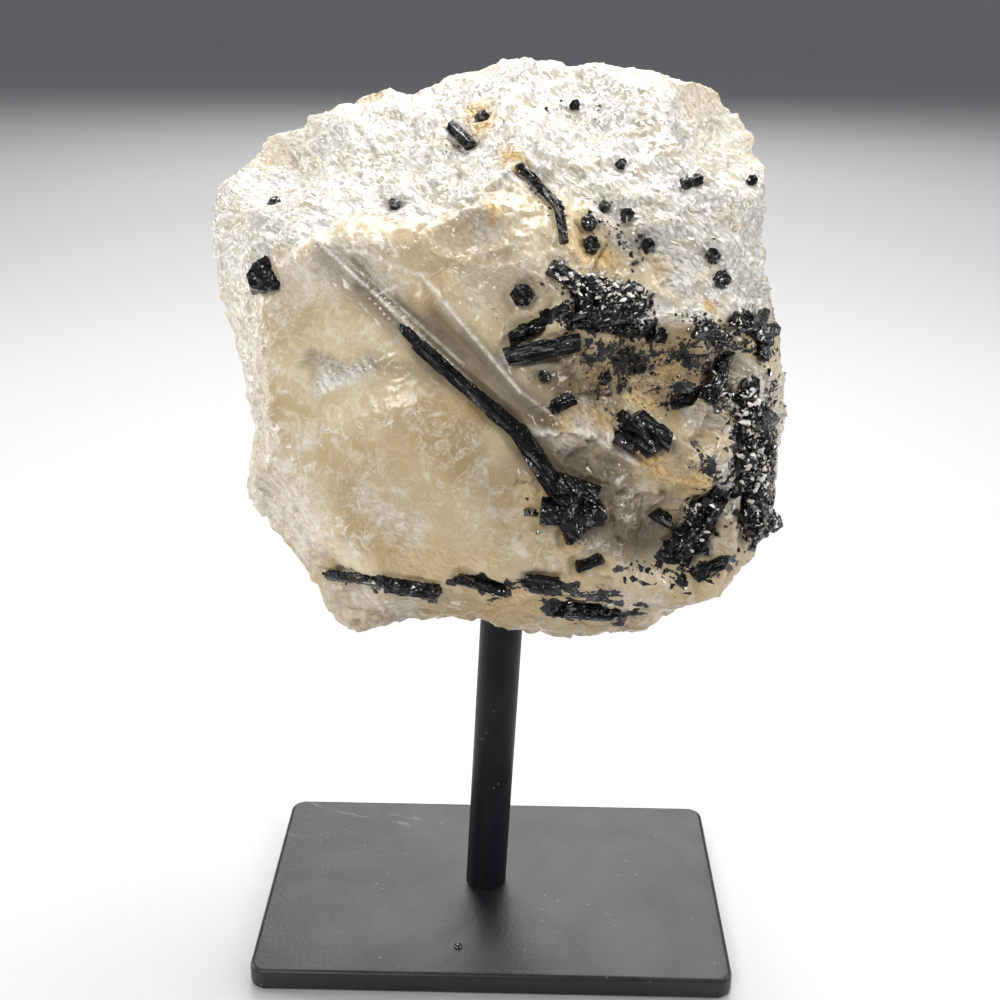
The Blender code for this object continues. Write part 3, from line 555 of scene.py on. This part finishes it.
def crest_height(points, crests):
    """Height of crests and grooves at points on the front."""
    height = np.zeros(len(points))
    front = np.clip((points[:, 2] - CREST_START) / CREST_FADE, 0.0, 1.0)
    for start, end, rise, half_width in crests.values():
        height += rise * np.clip(1.0 - away_from(points[:, :2], start, end) / half_width, 0.0, 1.0)
    return height * front


def bowl_height(point, cell, depth):
    """Height of the surface where it is broken in bowls of one size."""
    spans, _ = noise.voronoi(Vector(point) / cell)
    return depth * (BOWL_RISE * min(spans[0], BOWL_EDGE) ** 2 - BOWL_SINK)


def step_height(point, cell, depth):
    """Height of the surface where it is broken in tilted steps of one size."""
    place = Vector(point) / cell + Vector(STEP_SHIFT)
    _, centres = noise.voronoi(place)
    lean = noise.cell_vector(centres[0] * STEP_SPREAD) * 2.0 - Vector((1.0, 1.0, 1.0))
    return depth * max(-1.0, min(1.0, lean.dot(place - centres[0])))


def smoothness(points):
    """How smooth the stone is at each point, from the smooth face at the left of its front."""
    spread = ((points[:, :2] - np.array(SMOOTH_PLACE)) / np.array(SMOOTH_SPREAD)) ** 2
    return SMOOTH_SHARE * np.clip(SMOOTH_EDGE - spread.sum(axis=1), 0.0, 1.0) * (points[:, 2] > 0.0)


def stone_surface(ways):
    """Points of the solid's surface along unit ways, with how rough each one is."""
    reach = strike_hollows(ways, body_reach(ways))
    points = ways * reach[:, None]
    rough = 1.0 - smoothness(points)
    height = crest_height(points, CRESTS)
    for index, point in enumerate(points):
        for cell, depth in BOWLS:
            height[index] += rough[index] * bowl_height(point, cell, depth)
        for cell, depth in STEPS:
            height[index] += rough[index] * step_height(point, cell, depth)
    return ways * (reach + height)[:, None], rough


def fine_height(points, rough):
    """Height of the fine breaks that only the looks have."""
    height = np.zeros(len(points))
    for index, point in enumerate(points):
        for cell, depth in FINE_BOWLS:
            height[index] += rough[index] * bowl_height(point, cell, depth)
        for cell, depth in FINE_STEPS:
            height[index] += rough[index] * step_height(point, cell, depth)
    return height


def seen_places(points):
    """Where points lie in the plane of the outline, as seen from in front."""
    return points[:, :2] * (VIEW_DISTANCE / (VIEW_DISTANCE - points[:, 2]))[:, None]


def banded(seen, bands, softness=0.6):
    """Strength of a mark laid along bands, one for each point seen."""
    strength = np.zeros(len(seen))
    for start, end, half_width, most in bands:
        away = away_from(seen, start, end) / half_width
        share = np.clip((1.0 + softness - away) / (2.0 * softness), 0.0, 1.0)
        strength = np.maximum(strength, most * share)
    return strength


def warped(seen):
    """The places seen, shifted unevenly so that marks laid on them have ragged edges."""
    noise.seed_set(RAGGED_SEED)
    shifted = seen.copy()
    for index, (across, up) in enumerate(seen):
        for size, reach in RAGGED:
            shift = noise.noise_vector(Vector((across, up, 7.0)) / size) * reach
            shifted[index] += shift.x, shift.y
    return shifted


def around_marks(points):
    """Frost, smoke, clearness, veils and stains round the sides and the back, in soft patches."""
    places = [Vector(point) for point in points]
    broad = np.array([noise.noise(place / PATCH_SIZE + Vector(STEP_SHIFT)) for place in places])
    ragged = np.array([noise.fractal(place / RAGGED_SIZE, 1.0, 2.0, 4) for place in places])
    rust = np.array([noise.noise(place / RUST_SIZE) for place in places]) + 0.5 * ragged
    marks = {name: np.clip(start + by_broad * broad + by_ragged * ragged, 0.0, most)
             for name, (start, by_broad, by_ragged, most) in PATCHES.items()}
    marks["veil"] = np.clip(1.2 - 9.0 * np.abs(ragged + 0.3 * broad - 0.12), 0.0, 0.8)
    marks["stain"] = np.clip(2.2 * rust - 0.95, 0.0, 0.9)
    return marks


def stone_marks(points):
    """Frost, clearness, smoke, veils, lines, stains and dark seams and specks over the stone's surface;
    smoke and dark specks also paint shade in the recess, and smoke along the underside.
    """
    straight = seen_places(points)
    seen = warped(straight)
    front = np.clip((points[:, 2] - MARKS_START) / MARKS_FADE, 0.0, 1.0)
    line = np.interp(seen[:, 0], *zip(*FROST_LINE))
    frost = np.clip((seen[:, 1] - line) / FROST_EDGE + 0.5, 0.0, 1.0)
    frost = np.maximum(frost, banded(seen, FROST_BANDS))
    around = around_marks(points)
    marks = {"frost": frost * front + around["frost"] * (1.0 - front)}
    for name, bands, laid in (
            ("clear", CLEAR_BANDS, straight), ("smoke_and_shade", SMOKE_AND_SHADE_BANDS, seen), ("veil", VEIL_BANDS, seen),
            ("line", LINE_BANDS, straight), ("stain", STAIN_BANDS, seen), ("dark", DARK_BANDS, seen)):
        marks[name] = banded(laid, bands) * front
        if name in around:
            marks[name] += around[name] * (1.0 - front)
    return marks


def stone_to_world():
    """The placement of the stone's frame."""
    turn = Matrix.Rotation(math.pi / 2 - TILT, 4, "X")
    return Matrix.Translation(Vector(STONE_CENTRE) * MM) @ turn @ Matrix.Scale(MM, 4)


def grid_ball():
    """A ball of square cells, its points drawn towards the front, as a bmesh."""
    ball = bmesh.new()
    bmesh.ops.create_cube(ball, size=2.0)
    bmesh.ops.subdivide_edges(ball, edges=ball.edges, cuts=STONE_GRID, use_grid_fill=True)
    for vert in ball.verts:
        even = Vector([math.tan(part * math.pi / 4.0) for part in vert.co])
        way = even.normalized() + Vector((0.0, 0.0, FRONT_SHARE))
        vert.co = way.normalized()
    return ball


def new_piece(name, shape, finish, smooth=True):
    """A piece of the visual model made from a bmesh, riding on the stone's only body."""
    mesh = bpy.data.meshes.new(name)
    shape.to_mesh(mesh)
    shape.free()
    piece = bpy.data.objects.new(name, mesh)
    bpy.context.scene.collection.objects.link(piece)
    mesh.materials.append(finish)
    if smooth:
        mesh.shade_smooth()
    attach(piece, "root")
    return piece


def make_stone(crystals, finish):
    """The quartz, with its fine broken surface and its marks."""
    ball = grid_ball()
    ways = np.array([vert.co[:] for vert in ball.verts])
    points, rough = stone_surface(ways)
    near = kdtree.KDTree(len(crystals))
    for index, point in enumerate(crystals):
        near.insert(point, index)
    near.balance()
    away = np.array([near.find(point)[2] for point in points])
    calm = np.clip(away / CALM_REACH, CALM_LEAST, 1.0)
    marks = stone_marks(points)
    fine = (0.2 + 0.8 * rough) * calm * (0.55 + 0.45 * marks["frost"]) * (1.0 - 0.75 * marks["clear"])
    seen = np.column_stack((seen_places(points), points[:, 2]))
    height = fine_height(points, fine) + calm * crest_height(seen, FINE_CRESTS)
    blocky = calm * banded(seen[:, :2], BLOCKY_BANDS) * np.clip(points[:, 2] / MARKS_FADE, 0.0, 1.0)
    for index in np.flatnonzero(blocky):
        height[index] += blocky[index] * sum(step_height(points[index], *block) for block in BLOCKS)
    height -= MOAT_DEPTH * np.clip(1.0 - away / MOAT_REACH, 0.0, 1.0)
    points = points + ways * height[:, None]
    place = stone_to_world()
    for vert, point in zip(ball.verts, points):
        vert.co = place @ Vector(point)
    stone = new_piece("quartz_stone", ball, finish)
    for name, values in marks.items():
        attribute = stone.data.attributes.new(name, "FLOAT", "POINT")
        attribute.data.foreach_set("value", values.astype(np.float32))
    laid = stone.data.attributes.new("laid", "FLOAT_VECTOR", "POINT")
    laid.data.foreach_set("vector", (seen * MM).astype(np.float32).ravel())
    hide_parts("quartz")
    return stone


class Surface:
    """The surface of the quartz and its crystals in the stone's frame, for setting grains on it."""

    def __init__(self, pieces):
        shape = bmesh.new()
        for piece in pieces:
            shape.from_mesh(piece.data)
        shape.transform(stone_to_world().inverted())
        self.tree = BVHTree.FromBMesh(shape)
        shape.free()

    def spot(self, across, up):
        """The point and the way out at a place on the front, or nothing past its edge."""
        eye = Vector((0.0, 0.0, VIEW_DISTANCE))
        point, normal, _, _ = self.tree.ray_cast(eye, (Vector((across, up, 0.0)) - eye).normalized())
        return point, normal


def add_chip(shape, place, out, size, draw):
    """One angular grain, longer than it is thick, half sunk in the surface."""
    spin = Matrix.Rotation(draw.uniform(0.0, math.tau), 3, out)
    along = (spin @ out.orthogonal()).normalized()
    frame = Matrix((along, out.cross(along), out)).transposed()
    stretch = Vector((draw.uniform(0.8, 1.7), draw.uniform(0.6, 1.0), draw.uniform(0.5, 0.9))) * size / 2.0
    corners = []
    for _ in range(10):
        corner = Vector([draw.gauss(0.0, 1.0) for _ in range(3)]).normalized() * stretch
        corners.append(shape.verts.new(place + frame @ corner))
    hull = bmesh.ops.convex_hull(shape, input=corners)
    spare = [item for item in hull["geom_interior"] if isinstance(item, bmesh.types.BMVert)]
    bmesh.ops.delete(shape, geom=spare, context="VERTS")


def make_chips(name, bands, seed, surface, finish):
    """Small angular bits scattered on the front along bands, as one piece."""
    draw = random.Random(seed)
    shape = bmesh.new()
    for start, end, spread, count, (smallest, largest) in bands:
        start, end = Vector(start), Vector(end)
        for _ in range(count):
            place = start.lerp(end, draw.random())
            place += Vector((draw.gauss(0.0, 0.5), draw.gauss(0.0, 0.5))) * spread
            point, out = surface.spot(*place)
            if point:
                size = smallest + (largest - smallest) * draw.random() ** 2
                add_chip(shape, point - out * size * GRAIN_SINK, out, size, draw)
    bmesh.ops.transform(shape, matrix=stone_to_world(), verts=shape.verts)
    bmesh.ops.recalc_face_normals(shape, faces=shape.faces)
    return new_piece(name, shape, finish, smooth=False)


def main_axis(points):
    """The direction in which points spread the most."""
    spread = points - points.mean(axis=0)
    return Vector(np.linalg.svd(spread, full_matrices=False)[2][0])


def sink_end(shape, deep, level, depth):
    """Lowers a crystal's end into the stone, from nothing at one place to all of it at the other."""
    place = stone_to_world()
    back = place.inverted()
    deep, level = Vector(deep), Vector(level)
    run = deep - level
    for vert in shape.verts:
        point = back @ vert.co
        share = (Vector(seen_places(np.array([point[:]]))[0]) - level).dot(run) / run.length_squared
        point.z -= depth * min(1.0, max(0.0, share))
        vert.co = place @ point


def make_crystal(node, finish):
    """A crystal with the fine grooves of tourmaline along it, over its CAD solid."""
    shape = bmesh.new()
    shape.from_mesh(node.data)
    bmesh.ops.remove_doubles(shape, verts=shape.verts, dist=1e-6)
    axis = main_axis(np.array([vert.co[:] for vert in shape.verts]))
    for _ in range(SPLIT_ROUNDS):
        long_edges = [edge for edge in shape.edges if edge.calc_length() > SPLIT_LENGTH * MM]
        if long_edges:
            bmesh.ops.subdivide_edges(shape, edges=long_edges, cuts=1)
            bmesh.ops.triangulate(shape, faces=shape.faces)
    shape.normal_update()
    moves = []
    for vert in shape.verts:
        place = vert.co / MM
        flat = place - axis * place.dot(axis)
        side = 1.0 - abs(vert.normal.dot(axis))
        grooves = noise.noise(flat / GROOVE_WIDTH + axis * place.dot(axis) / GROOVE_LENGTH)
        chips = noise.cell(place / CHIP_SIZE) - 0.5
        rise = SWELL + side * GROOVE_DEPTH * grooves + CHIP_DEPTH * chips
        moves.append(vert.normal * rise * MM)
    for vert, move in zip(shape.verts, moves):
        vert.co += move
    cross = axis.orthogonal().normalized()
    other = axis.cross(cross)
    laid = [(vert.co.dot(cross), vert.co.dot(other), vert.co.dot(axis) * GROOVE_STRETCH)
            for vert in shape.verts]
    if node.name in SUNK_ENDS:
        sink_end(shape, *SUNK_ENDS[node.name])
    name = node.name.replace("crystal_", "tourmaline_")
    crystal = new_piece(name, shape, finish, smooth=False)
    attribute = crystal.data.attributes.new("laid", "FLOAT_VECTOR", "POINT")
    attribute.data.foreach_set("vector", np.array(laid, np.float32).ravel())
    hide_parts(node.name)
    return crystal


class Nodes:
    """A short way of writing a node material."""

    def __init__(self, name):
        self.material = bpy.data.materials.new(name)
        self.material.use_nodes = True
        self.tree = self.material.node_tree
        self.shader = self.tree.nodes["Principled BSDF"]
        self.output = self.tree.nodes["Material Output"]

    def add(self, kind, values=None, **settings):
        node = self.tree.nodes.new(kind)
        for name, value in settings.items():
            setattr(node, name, value)
        for name, value in (values or {}).items():
            self.put(node, name, value)
        return node

    def put(self, node, name, value):
        socket = node.inputs[name]
        if isinstance(value, bpy.types.NodeSocket):
            self.tree.links.new(value, socket)
        else:
            socket.default_value = value

    def place(self):
        return self.add("ShaderNodeTexCoord").outputs["Object"]

    def mark(self, name):
        return self.add("ShaderNodeAttribute", attribute_name=name).outputs["Fac"]

    def noise(self, scale, detail=4.0, roughness=0.55, distortion=0.0, place=None):
        node = self.add("ShaderNodeTexNoise", {"Scale": scale, "Detail": detail, "Roughness": roughness,
                                               "Distortion": distortion})
        self.put(node, "Vector", place or self.place())
        return node.outputs["Fac"]

    def cells(self, scale):
        node = self.add("ShaderNodeTexVoronoi", {"Scale": scale, "Vector": self.place()})
        return node.outputs["Distance"]

    def math(self, operation, first, second=0.0, clamp=False):
        node = self.add("ShaderNodeMath", operation=operation, use_clamp=clamp)
        self.put(node, 0, first)
        self.put(node, 1, second)
        return node.outputs[0]

    def span(self, value, low, high, start=0.0, end=1.0):
        node = self.add("ShaderNodeMapRange", {"Value": value, "From Min": low, "From Max": high,
                                               "To Min": start, "To Max": end})
        return node.outputs[0]

    def mix(self, share, first, second):
        node = self.add("ShaderNodeMix", data_type="RGBA")
        self.put(node, 0, share)
        for index, colour in ((6, first), (7, second)):
            if isinstance(colour, tuple):
                colour = (*colour, 1.0)
            self.put(node, index, colour)
        return node.outputs[2]

    def mapped(self, place, scale=(1.0, 1.0, 1.0), turn=0.0):
        values = {"Vector": place, "Scale": scale, "Rotation": (0.0, 0.0, turn)}
        node = self.add("ShaderNodeMapping", values, vector_type="TEXTURE")
        return node.outputs[0]

    def vector_math(self, operation, first, second, output=0):
        node = self.add("ShaderNodeVectorMath", operation=operation)
        self.put(node, 0, first)
        self.put(node, 1, second)
        return node.outputs[output]

    def facets(self, size, slope, place=None):
        """Height of a surface broken in tilted facets, and a random number for each facet."""
        place = place or self.place()
        cells = self.add("ShaderNodeTexVoronoi", {"Vector": place, "Scale": 1.0 / (size * MM)})
        lean = self.vector_math("SUBTRACT", cells.outputs["Color"], (0.5, 0.5, 0.5))
        lean = self.vector_math("MULTIPLY", lean, (2.0 * slope,) * 3)
        away = self.vector_math("SUBTRACT", place, cells.outputs["Position"])
        height = self.vector_math("DOT_PRODUCT", lean, away, "Value")
        tone = self.add("ShaderNodeSeparateColor", {"Color": cells.outputs["Color"]}).outputs[0]
        return height, tone

    def bump(self, height, strength, distance):
        node = self.add("ShaderNodeBump", {"Height": height, "Strength": strength, "Distance": distance})
        return node.outputs["Normal"]

    def set(self, **values):
        for name, value in values.items():
            self.put(self.shader, name.replace("_", " "), value)


def quartz_finish():
    """Milky to smoky quartz: frosted above, with glints and shade painted on the frosted facets, clear in
    windows, stained in places.
    """
    look = Nodes("quartz_finish")
    frost, clear, smoke_and_shade = look.mark("frost"), look.mark("clear"), look.mark("smoke_and_shade")
    veil, line, stain, dark = (look.mark(name) for name in ("veil", "line", "stain", "dark"))
    laid = look.add("ShaderNodeAttribute", attribute_name="laid").outputs["Vector"]
    streaks = look.noise(1.0, 2.0, 0.6, 0.0, look.mapped(laid, (0.009, 0.0006, 0.004), WINDOW_TURN))
    seams = look.noise(1.0, 2.0, 0.6, 0.0, look.mapped(laid, (0.0034, 0.0013, 0.0020), SEAM_TURN))
    strokes = look.mapped(laid, (2.6, 1.0, 1.0), STROKE_TURN)
    cloud = look.noise(60.0, 2.0, 0.6)
    wisp = look.noise(240.0, 4.0, 0.68, 1.2)
    threads = look.noise(150.0, 4.0, 0.68, 0.8)
    fine_wisp = look.noise(1000.0, 2.0, 0.7, 0.6)
    facets, tone = look.facets(0.36, 0.65, strokes)

    body = look.mix(look.span(cloud, 0.36, 0.64), DEEP_BODY, PALE_BODY)
    wisps = look.math("MULTIPLY", look.span(wisp, 0.53, 0.66), look.span(fine_wisp, 0.42, 0.60))
    body = look.mix(look.math("MULTIPLY", wisps, 0.5), body, WISP)
    # Each frosted facet is painted grey or near white at random: painted shade and painted glints
    frosted = look.mix(look.span(tone, 0.25, 0.80), FROST_PAINTED_SHADE, FROST_PAINTED_GLINT)
    haze_share = look.math("MULTIPLY", frost, look.span(wisp, 0.34, 0.56, 0.45, 1.0))
    body = look.mix(haze_share, body, frosted)
    # Smoky colour, which is painted shade in the recess and along the underside
    smoky_and_shaded = look.math("MULTIPLY", smoke_and_shade, look.span(wisp, 0.30, 0.58, 0.45, 1.0))
    body = look.mix(smoky_and_shaded, body, SMOKE_AND_SHADE)
    streaky = look.math("MULTIPLY", clear, look.span(streaks, 0.42, 0.62))
    body = look.mix(look.math("MULTIPLY", streaky, 0.36), body, STREAK)
    thread = look.span(look.math("ABSOLUTE", look.math("SUBTRACT", threads, 0.5)), 0.006, 0.034, 1.0, 0.0)
    thread = look.math("MULTIPLY", thread, look.span(fine_wisp, 0.40, 0.56, 0.2, 1.0))
    thread = look.math("MAXIMUM", thread, look.span(wisp, 0.48, 0.68, 0.0, 0.8))
    veiled = look.math("MULTIPLY", look.math("ADD", veil, 0.05), thread)
    lined = look.math("MULTIPLY", line, look.span(fine_wisp, 0.34, 0.50, 0.3, 1.0))
    veiled = look.math("MAXIMUM", veiled, lined)
    body = look.mix(veiled, body, VEIL)
    rusty = look.math("MULTIPLY", stain, look.span(fine_wisp, 0.34, 0.50, 0.15, 1.0))
    body = look.mix(rusty, body, look.mix(tone, RUST, OCHRE))
    low = look.span(look.add("ShaderNodeSeparateXYZ", {"Vector": laid}).outputs["Y"], *LOW_SEAMS)
    specks = look.math("MULTIPLY", look.math("ADD", wisp, fine_wisp), 0.5)
    blackened = look.math("ADD", specks, look.math("MULTIPLY", low, look.math("SUBTRACT", seams, specks)))
    # Dark bands add black specks, which in the recess are painted shade
    blackened = look.math("ADD", blackened, look.math("MULTIPLY", dark, 0.45))
    blackened = look.math("GREATER_THAN", blackened, 0.75)
    body = look.mix(blackened, body, SEAM_AND_SHADE)

    shut = look.math("MAXIMUM", look.math("MULTIPLY", frost, 0.8), veiled)
    shut = look.math("MAXIMUM", shut, look.math("MAXIMUM", rusty, blackened))
    open_share = look.math("ADD", 0.05, look.math("MULTIPLY", clear, 0.66))
    open_share = look.math("MULTIPLY", open_share, look.math("SUBTRACT", 1.0, shut), True)
    rough = look.span(wisp, 0.35, 0.65, 0.10, 0.40)
    rough = look.math("MULTIPLY", rough, look.math("SUBTRACT", 1.0, look.math("MULTIPLY", clear, 0.6)))
    rough = look.math("ADD", rough, look.math("MULTIPLY", rusty, 0.4), True)

    rugged = look.math("ADD", 0.10, look.math("MULTIPLY", frost, 0.72))
    rugged = look.math("MULTIPLY", rugged, look.math("SUBTRACT", 1.0, look.math("MULTIPLY", clear, 0.8)))
    rugged = look.math("MAXIMUM", rugged, look.math("MULTIPLY", dark, 0.8), True)
    normal = look.bump(facets, rugged, 1.0)
    look.set(Base_Color=body, Roughness=rough, IOR=1.54, Normal=normal, Transmission_Weight=open_share)
    haze = look.add("ShaderNodeVolumeAbsorption", {"Color": QUARTZ_TINT, "Density": 55.0})
    look.tree.links.new(haze.outputs[0], look.output.inputs["Volume"])
    return look.material


def tourmaline_finish():
    """Glossy black tourmaline: dark, with some facets that flash, and dust in its grooves."""
    look = Nodes("tourmaline_finish")
    grain = look.noise(700.0, 3.0, 0.6)
    dust = look.noise(460.0, 4.0, 0.7, 1.0)
    laid = look.add("ShaderNodeAttribute", attribute_name="laid").outputs["Vector"]
    height, tone = look.facets(0.5, 0.9, laid)
    body = look.mix(look.span(grain, 0.35, 0.7), JET, COAL)
    body = look.mix(look.math("MULTIPLY", look.span(dust, 0.64, 0.72), 0.45), body, GROOVE_DUST)
    rough = look.span(grain, 0.3, 0.7, 0.05, 0.22)
    flash = look.span(tone, 0.62, 0.74, 0.16, 0.9)
    normal = look.bump(height, 0.9, 1.0)
    look.set(Base_Color=body, Roughness=rough, IOR=1.62, Normal=normal, Specular_IOR_Level=flash)
    return look.material


def stand_finish(name, shine, smooth=0.34):
    """Satin black powder coat with fine orange peel, dust and rubbed marks."""
    look = Nodes(name)
    smear = look.noise(45.0, 6.0, 0.6, 1.2)
    dust = look.cells(520.0)
    sparse = look.span(look.noise(120.0, 3.0, 0.5), 0.52, 0.62)
    specks = look.math("MULTIPLY", look.span(dust, 0.10, 0.05), sparse)
    body = look.mix(look.span(smear, 0.4, 0.75), COAT_DARK, COAT_WORN)
    rubs = look.noise(1.0, 5.0, 0.7, 1.0, look.mapped(look.place(), (0.009, 0.003, 0.003), RUB_TURN))
    near = look.span(look.vector_math("DISTANCE", look.place(), RUB_PLACE, "Value"), 0.006, 0.020, 1.0, 0.0)
    rubs = look.math("MULTIPLY", look.span(rubs, 0.58, 0.66), look.math("MULTIPLY", near, 0.30))
    dusty = look.math("MAXIMUM", rubs, look.math("MULTIPLY", specks, 0.6))
    body = look.mix(dusty, body, COAT_DUST)
    rough = look.span(smear, 0.35, 0.7, smooth, smooth + 0.14)
    peel = look.bump(look.noise(1400.0, 3.0, 0.5), 0.25, 0.0002)
    look.set(Base_Color=body, Roughness=rough, Normal=peel, Specular_IOR_Level=shine)
    return look.material


def make_plate(finish, bead_finish):
    """The plate, rounded at its corners and edges, with the one bead in its coat."""
    shape = bmesh.new()
    bmesh.ops.create_cube(shape, size=1.0)
    bmesh.ops.scale(shape, vec=Vector(PLATE_SIZE) * MM, verts=shape.verts)
    upright = [edge for edge in shape.edges if abs(edge.verts[0].co.z - edge.verts[1].co.z) > MM]
    bmesh.ops.bevel(shape, geom=upright, offset=PLATE_CORNER * MM, segments=12, profile=0.5, affect="EDGES")
    rims = [edge for edge in shape.edges if abs(edge.verts[0].co.z - edge.verts[1].co.z) < MM / 10.0]
    bmesh.ops.bevel(shape, geom=rims, offset=PLATE_EDGE * MM, segments=6, profile=0.5, affect="EDGES")
    bmesh.ops.translate(shape, vec=(0.0, 0.0, PLATE_SIZE[2] * MM / 2.0), verts=shape.verts)
    plate = new_piece("plate", shape, finish)
    plate.data.set_sharp_from_angle(angle=CREASE)
    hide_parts("stand_base")
    bead = bmesh.new()
    bmesh.ops.create_uvsphere(bead, u_segments=24, v_segments=14, radius=BEAD[2] * MM / 2.0)
    bmesh.ops.scale(bead, vec=(1.0, 1.0, 0.7), verts=bead.verts)
    bmesh.ops.translate(bead, vec=Vector((BEAD[0], BEAD[1], PLATE_SIZE[2])) * MM, verts=bead.verts)
    new_piece("plate_bead", bead, bead_finish)


def make_rod(finish):
    """The leaning rod, round and smooth."""
    shape = bmesh.new()
    length = (ROD_TOP - PLATE_SIZE[2] + ROD_SINK) / math.cos(ROD_LEAN)
    radius = ROD_DIAMETER / 2.0 * MM
    bmesh.ops.create_cone(shape, cap_ends=True, segments=ROD_SIDES, radius1=radius, radius2=radius,
                          depth=length * MM)
    lean = Matrix.Rotation(ROD_LEAN, 4, "Y")
    foot = (ROD_FOOT[0] - ROD_SINK * math.tan(ROD_LEAN), ROD_FOOT[1], PLATE_SIZE[2] - ROD_SINK)
    start = Vector(foot)
    middle = (start + lean @ Vector((0.0, 0.0, length / 2.0))) * MM
    bmesh.ops.transform(shape, matrix=Matrix.Translation(middle) @ lean, verts=shape.verts)
    rod = new_piece("rod", shape, finish)
    rod.data.set_sharp_from_angle(angle=CREASE)
    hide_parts("stand_rod")


def edge_points(nodes):
    """Points along the edges of the crystals, in the stone's frame."""
    back = stone_to_world().inverted()
    found = []
    for node in nodes:
        mesh = node.data
        for edge in mesh.edges:
            start, end = (mesh.vertices[index].co for index in edge.vertices)
            steps = max(1, int((end - start).length / MM))
            found += [back @ start.lerp(end, step / steps) for step in range(steps + 1)]
    return found


def make_camera():
    """The camera, at the photograph's angle."""
    pitch, yaw, roll = (math.radians(angle) for angle in (PITCH, YAW, ROLL))
    ahead = Vector((math.sin(yaw) * math.cos(pitch), math.cos(yaw) * math.cos(pitch), -math.sin(pitch)))
    level = Vector((math.cos(yaw), -math.sin(yaw), 0.0))
    above = level.cross(ahead)
    right = level * math.cos(roll) + above * math.sin(roll)
    up = above * math.cos(roll) - level * math.sin(roll)
    camera = bpy.data.objects.new("camera", bpy.data.cameras.new("camera"))
    bpy.context.scene.collection.objects.link(camera)
    camera.matrix_world = Matrix.Translation(EYE) @ Matrix((right, up, -ahead)).transposed().to_4x4()
    camera.data.lens = LENS
    bpy.context.scene.camera = camera


def make_stage():
    """A plain pale floor that sweeps up into a round backdrop."""
    look = Nodes("floor_finish")
    look.set(Base_Color=look.mix(look.noise(3.0, 2.0), FLOOR_DARK, FLOOR_LIGHT), Roughness=0.55)
    sweep = [(STAGE_REACH + STAGE_SWEEP * math.sin(turn), STAGE_SWEEP * (1.0 - math.cos(turn)))
             for turn in np.radians(np.arange(0.0, 91.0, 6.0))]
    profile = [(reach, 0.0) for reach in (0.3, 0.8, 1.4)] + sweep
    shape = bmesh.new()
    middle = shape.verts.new((0.0, 0.0, 0.0))
    rings = []
    for reach, height in profile:
        turns = [math.tau * step / STAGE_SIDES for step in range(STAGE_SIDES)]
        rings.append([shape.verts.new((reach * math.cos(turn), reach * math.sin(turn), height))
                      for turn in turns])
    for step in range(STAGE_SIDES):
        after = (step + 1) % STAGE_SIDES
        shape.faces.new((middle, rings[0][step], rings[0][after]))
        for inner, outer in zip(rings, rings[1:]):
            shape.faces.new((inner[step], outer[step], outer[after], inner[after]))
    mesh = bpy.data.meshes.new("floor")
    shape.to_mesh(mesh)
    shape.free()
    mesh.materials.append(look.material)
    mesh.shade_smooth()
    floor = bpy.data.objects.new("floor", mesh)
    bpy.context.scene.collection.objects.link(floor)


def add_light(name, place, aim, size, power, colour):
    """A square soft light, aimed at a point."""
    data = bpy.data.lights.new(name, "AREA")
    data.size = size
    data.energy = power
    data.color = colour
    light = bpy.data.objects.new(name, data)
    bpy.context.scene.collection.objects.link(light)
    light.location = place
    light.rotation_euler = (Vector(aim) - Vector(place)).to_track_quat("-Z", "Y").to_euler()


def make_light():
    """Soft studio light, strongest from above and a little behind."""
    world = bpy.data.worlds.new("studio")
    bpy.context.scene.world = world
    world.use_nodes = True
    background = world.node_tree.nodes["Background"]
    background.inputs["Color"].default_value = SKY
    background.inputs["Strength"].default_value = SKY_STRENGTH
    for name, light in LIGHTS.items():
        add_light(name, *light)
    bpy.context.scene.view_settings.view_transform = "Standard"
    paths = bpy.context.scene.cycles
    paths.max_bounces = ALL_BOUNCES
    paths.diffuse_bounces = DIFFUSE_BOUNCES
    paths.glossy_bounces = GLOSSY_BOUNCES
    paths.transmission_bounces = CLEAR_BOUNCES


def main():
    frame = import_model()
    crystals = [node for name, node in frame["nodes"].items() if name.startswith("crystal_")]
    make_camera()
    make_stage()
    make_light()
    clear = quartz_finish()
    stone = make_stone(edge_points(crystals), clear)
    black = tourmaline_finish()
    surface = Surface([stone] + [make_crystal(node, black) for node in crystals])
    make_chips("tourmaline_grains", GRAIN_BANDS, 7, surface, black)
    white = make_chips("quartz_chips", CHIP_BANDS, 11, surface, clear)
    frost = white.data.attributes.new("frost", "FLOAT", "POINT")
    frost.data.foreach_set("value", np.full(len(white.data.vertices), 0.9, np.float32))
    make_plate(stand_finish("plate_finish", 0.55), stand_finish("bead_finish", 1.0, 0.06))
    make_rod(stand_finish("rod_finish", 0.16))


main()
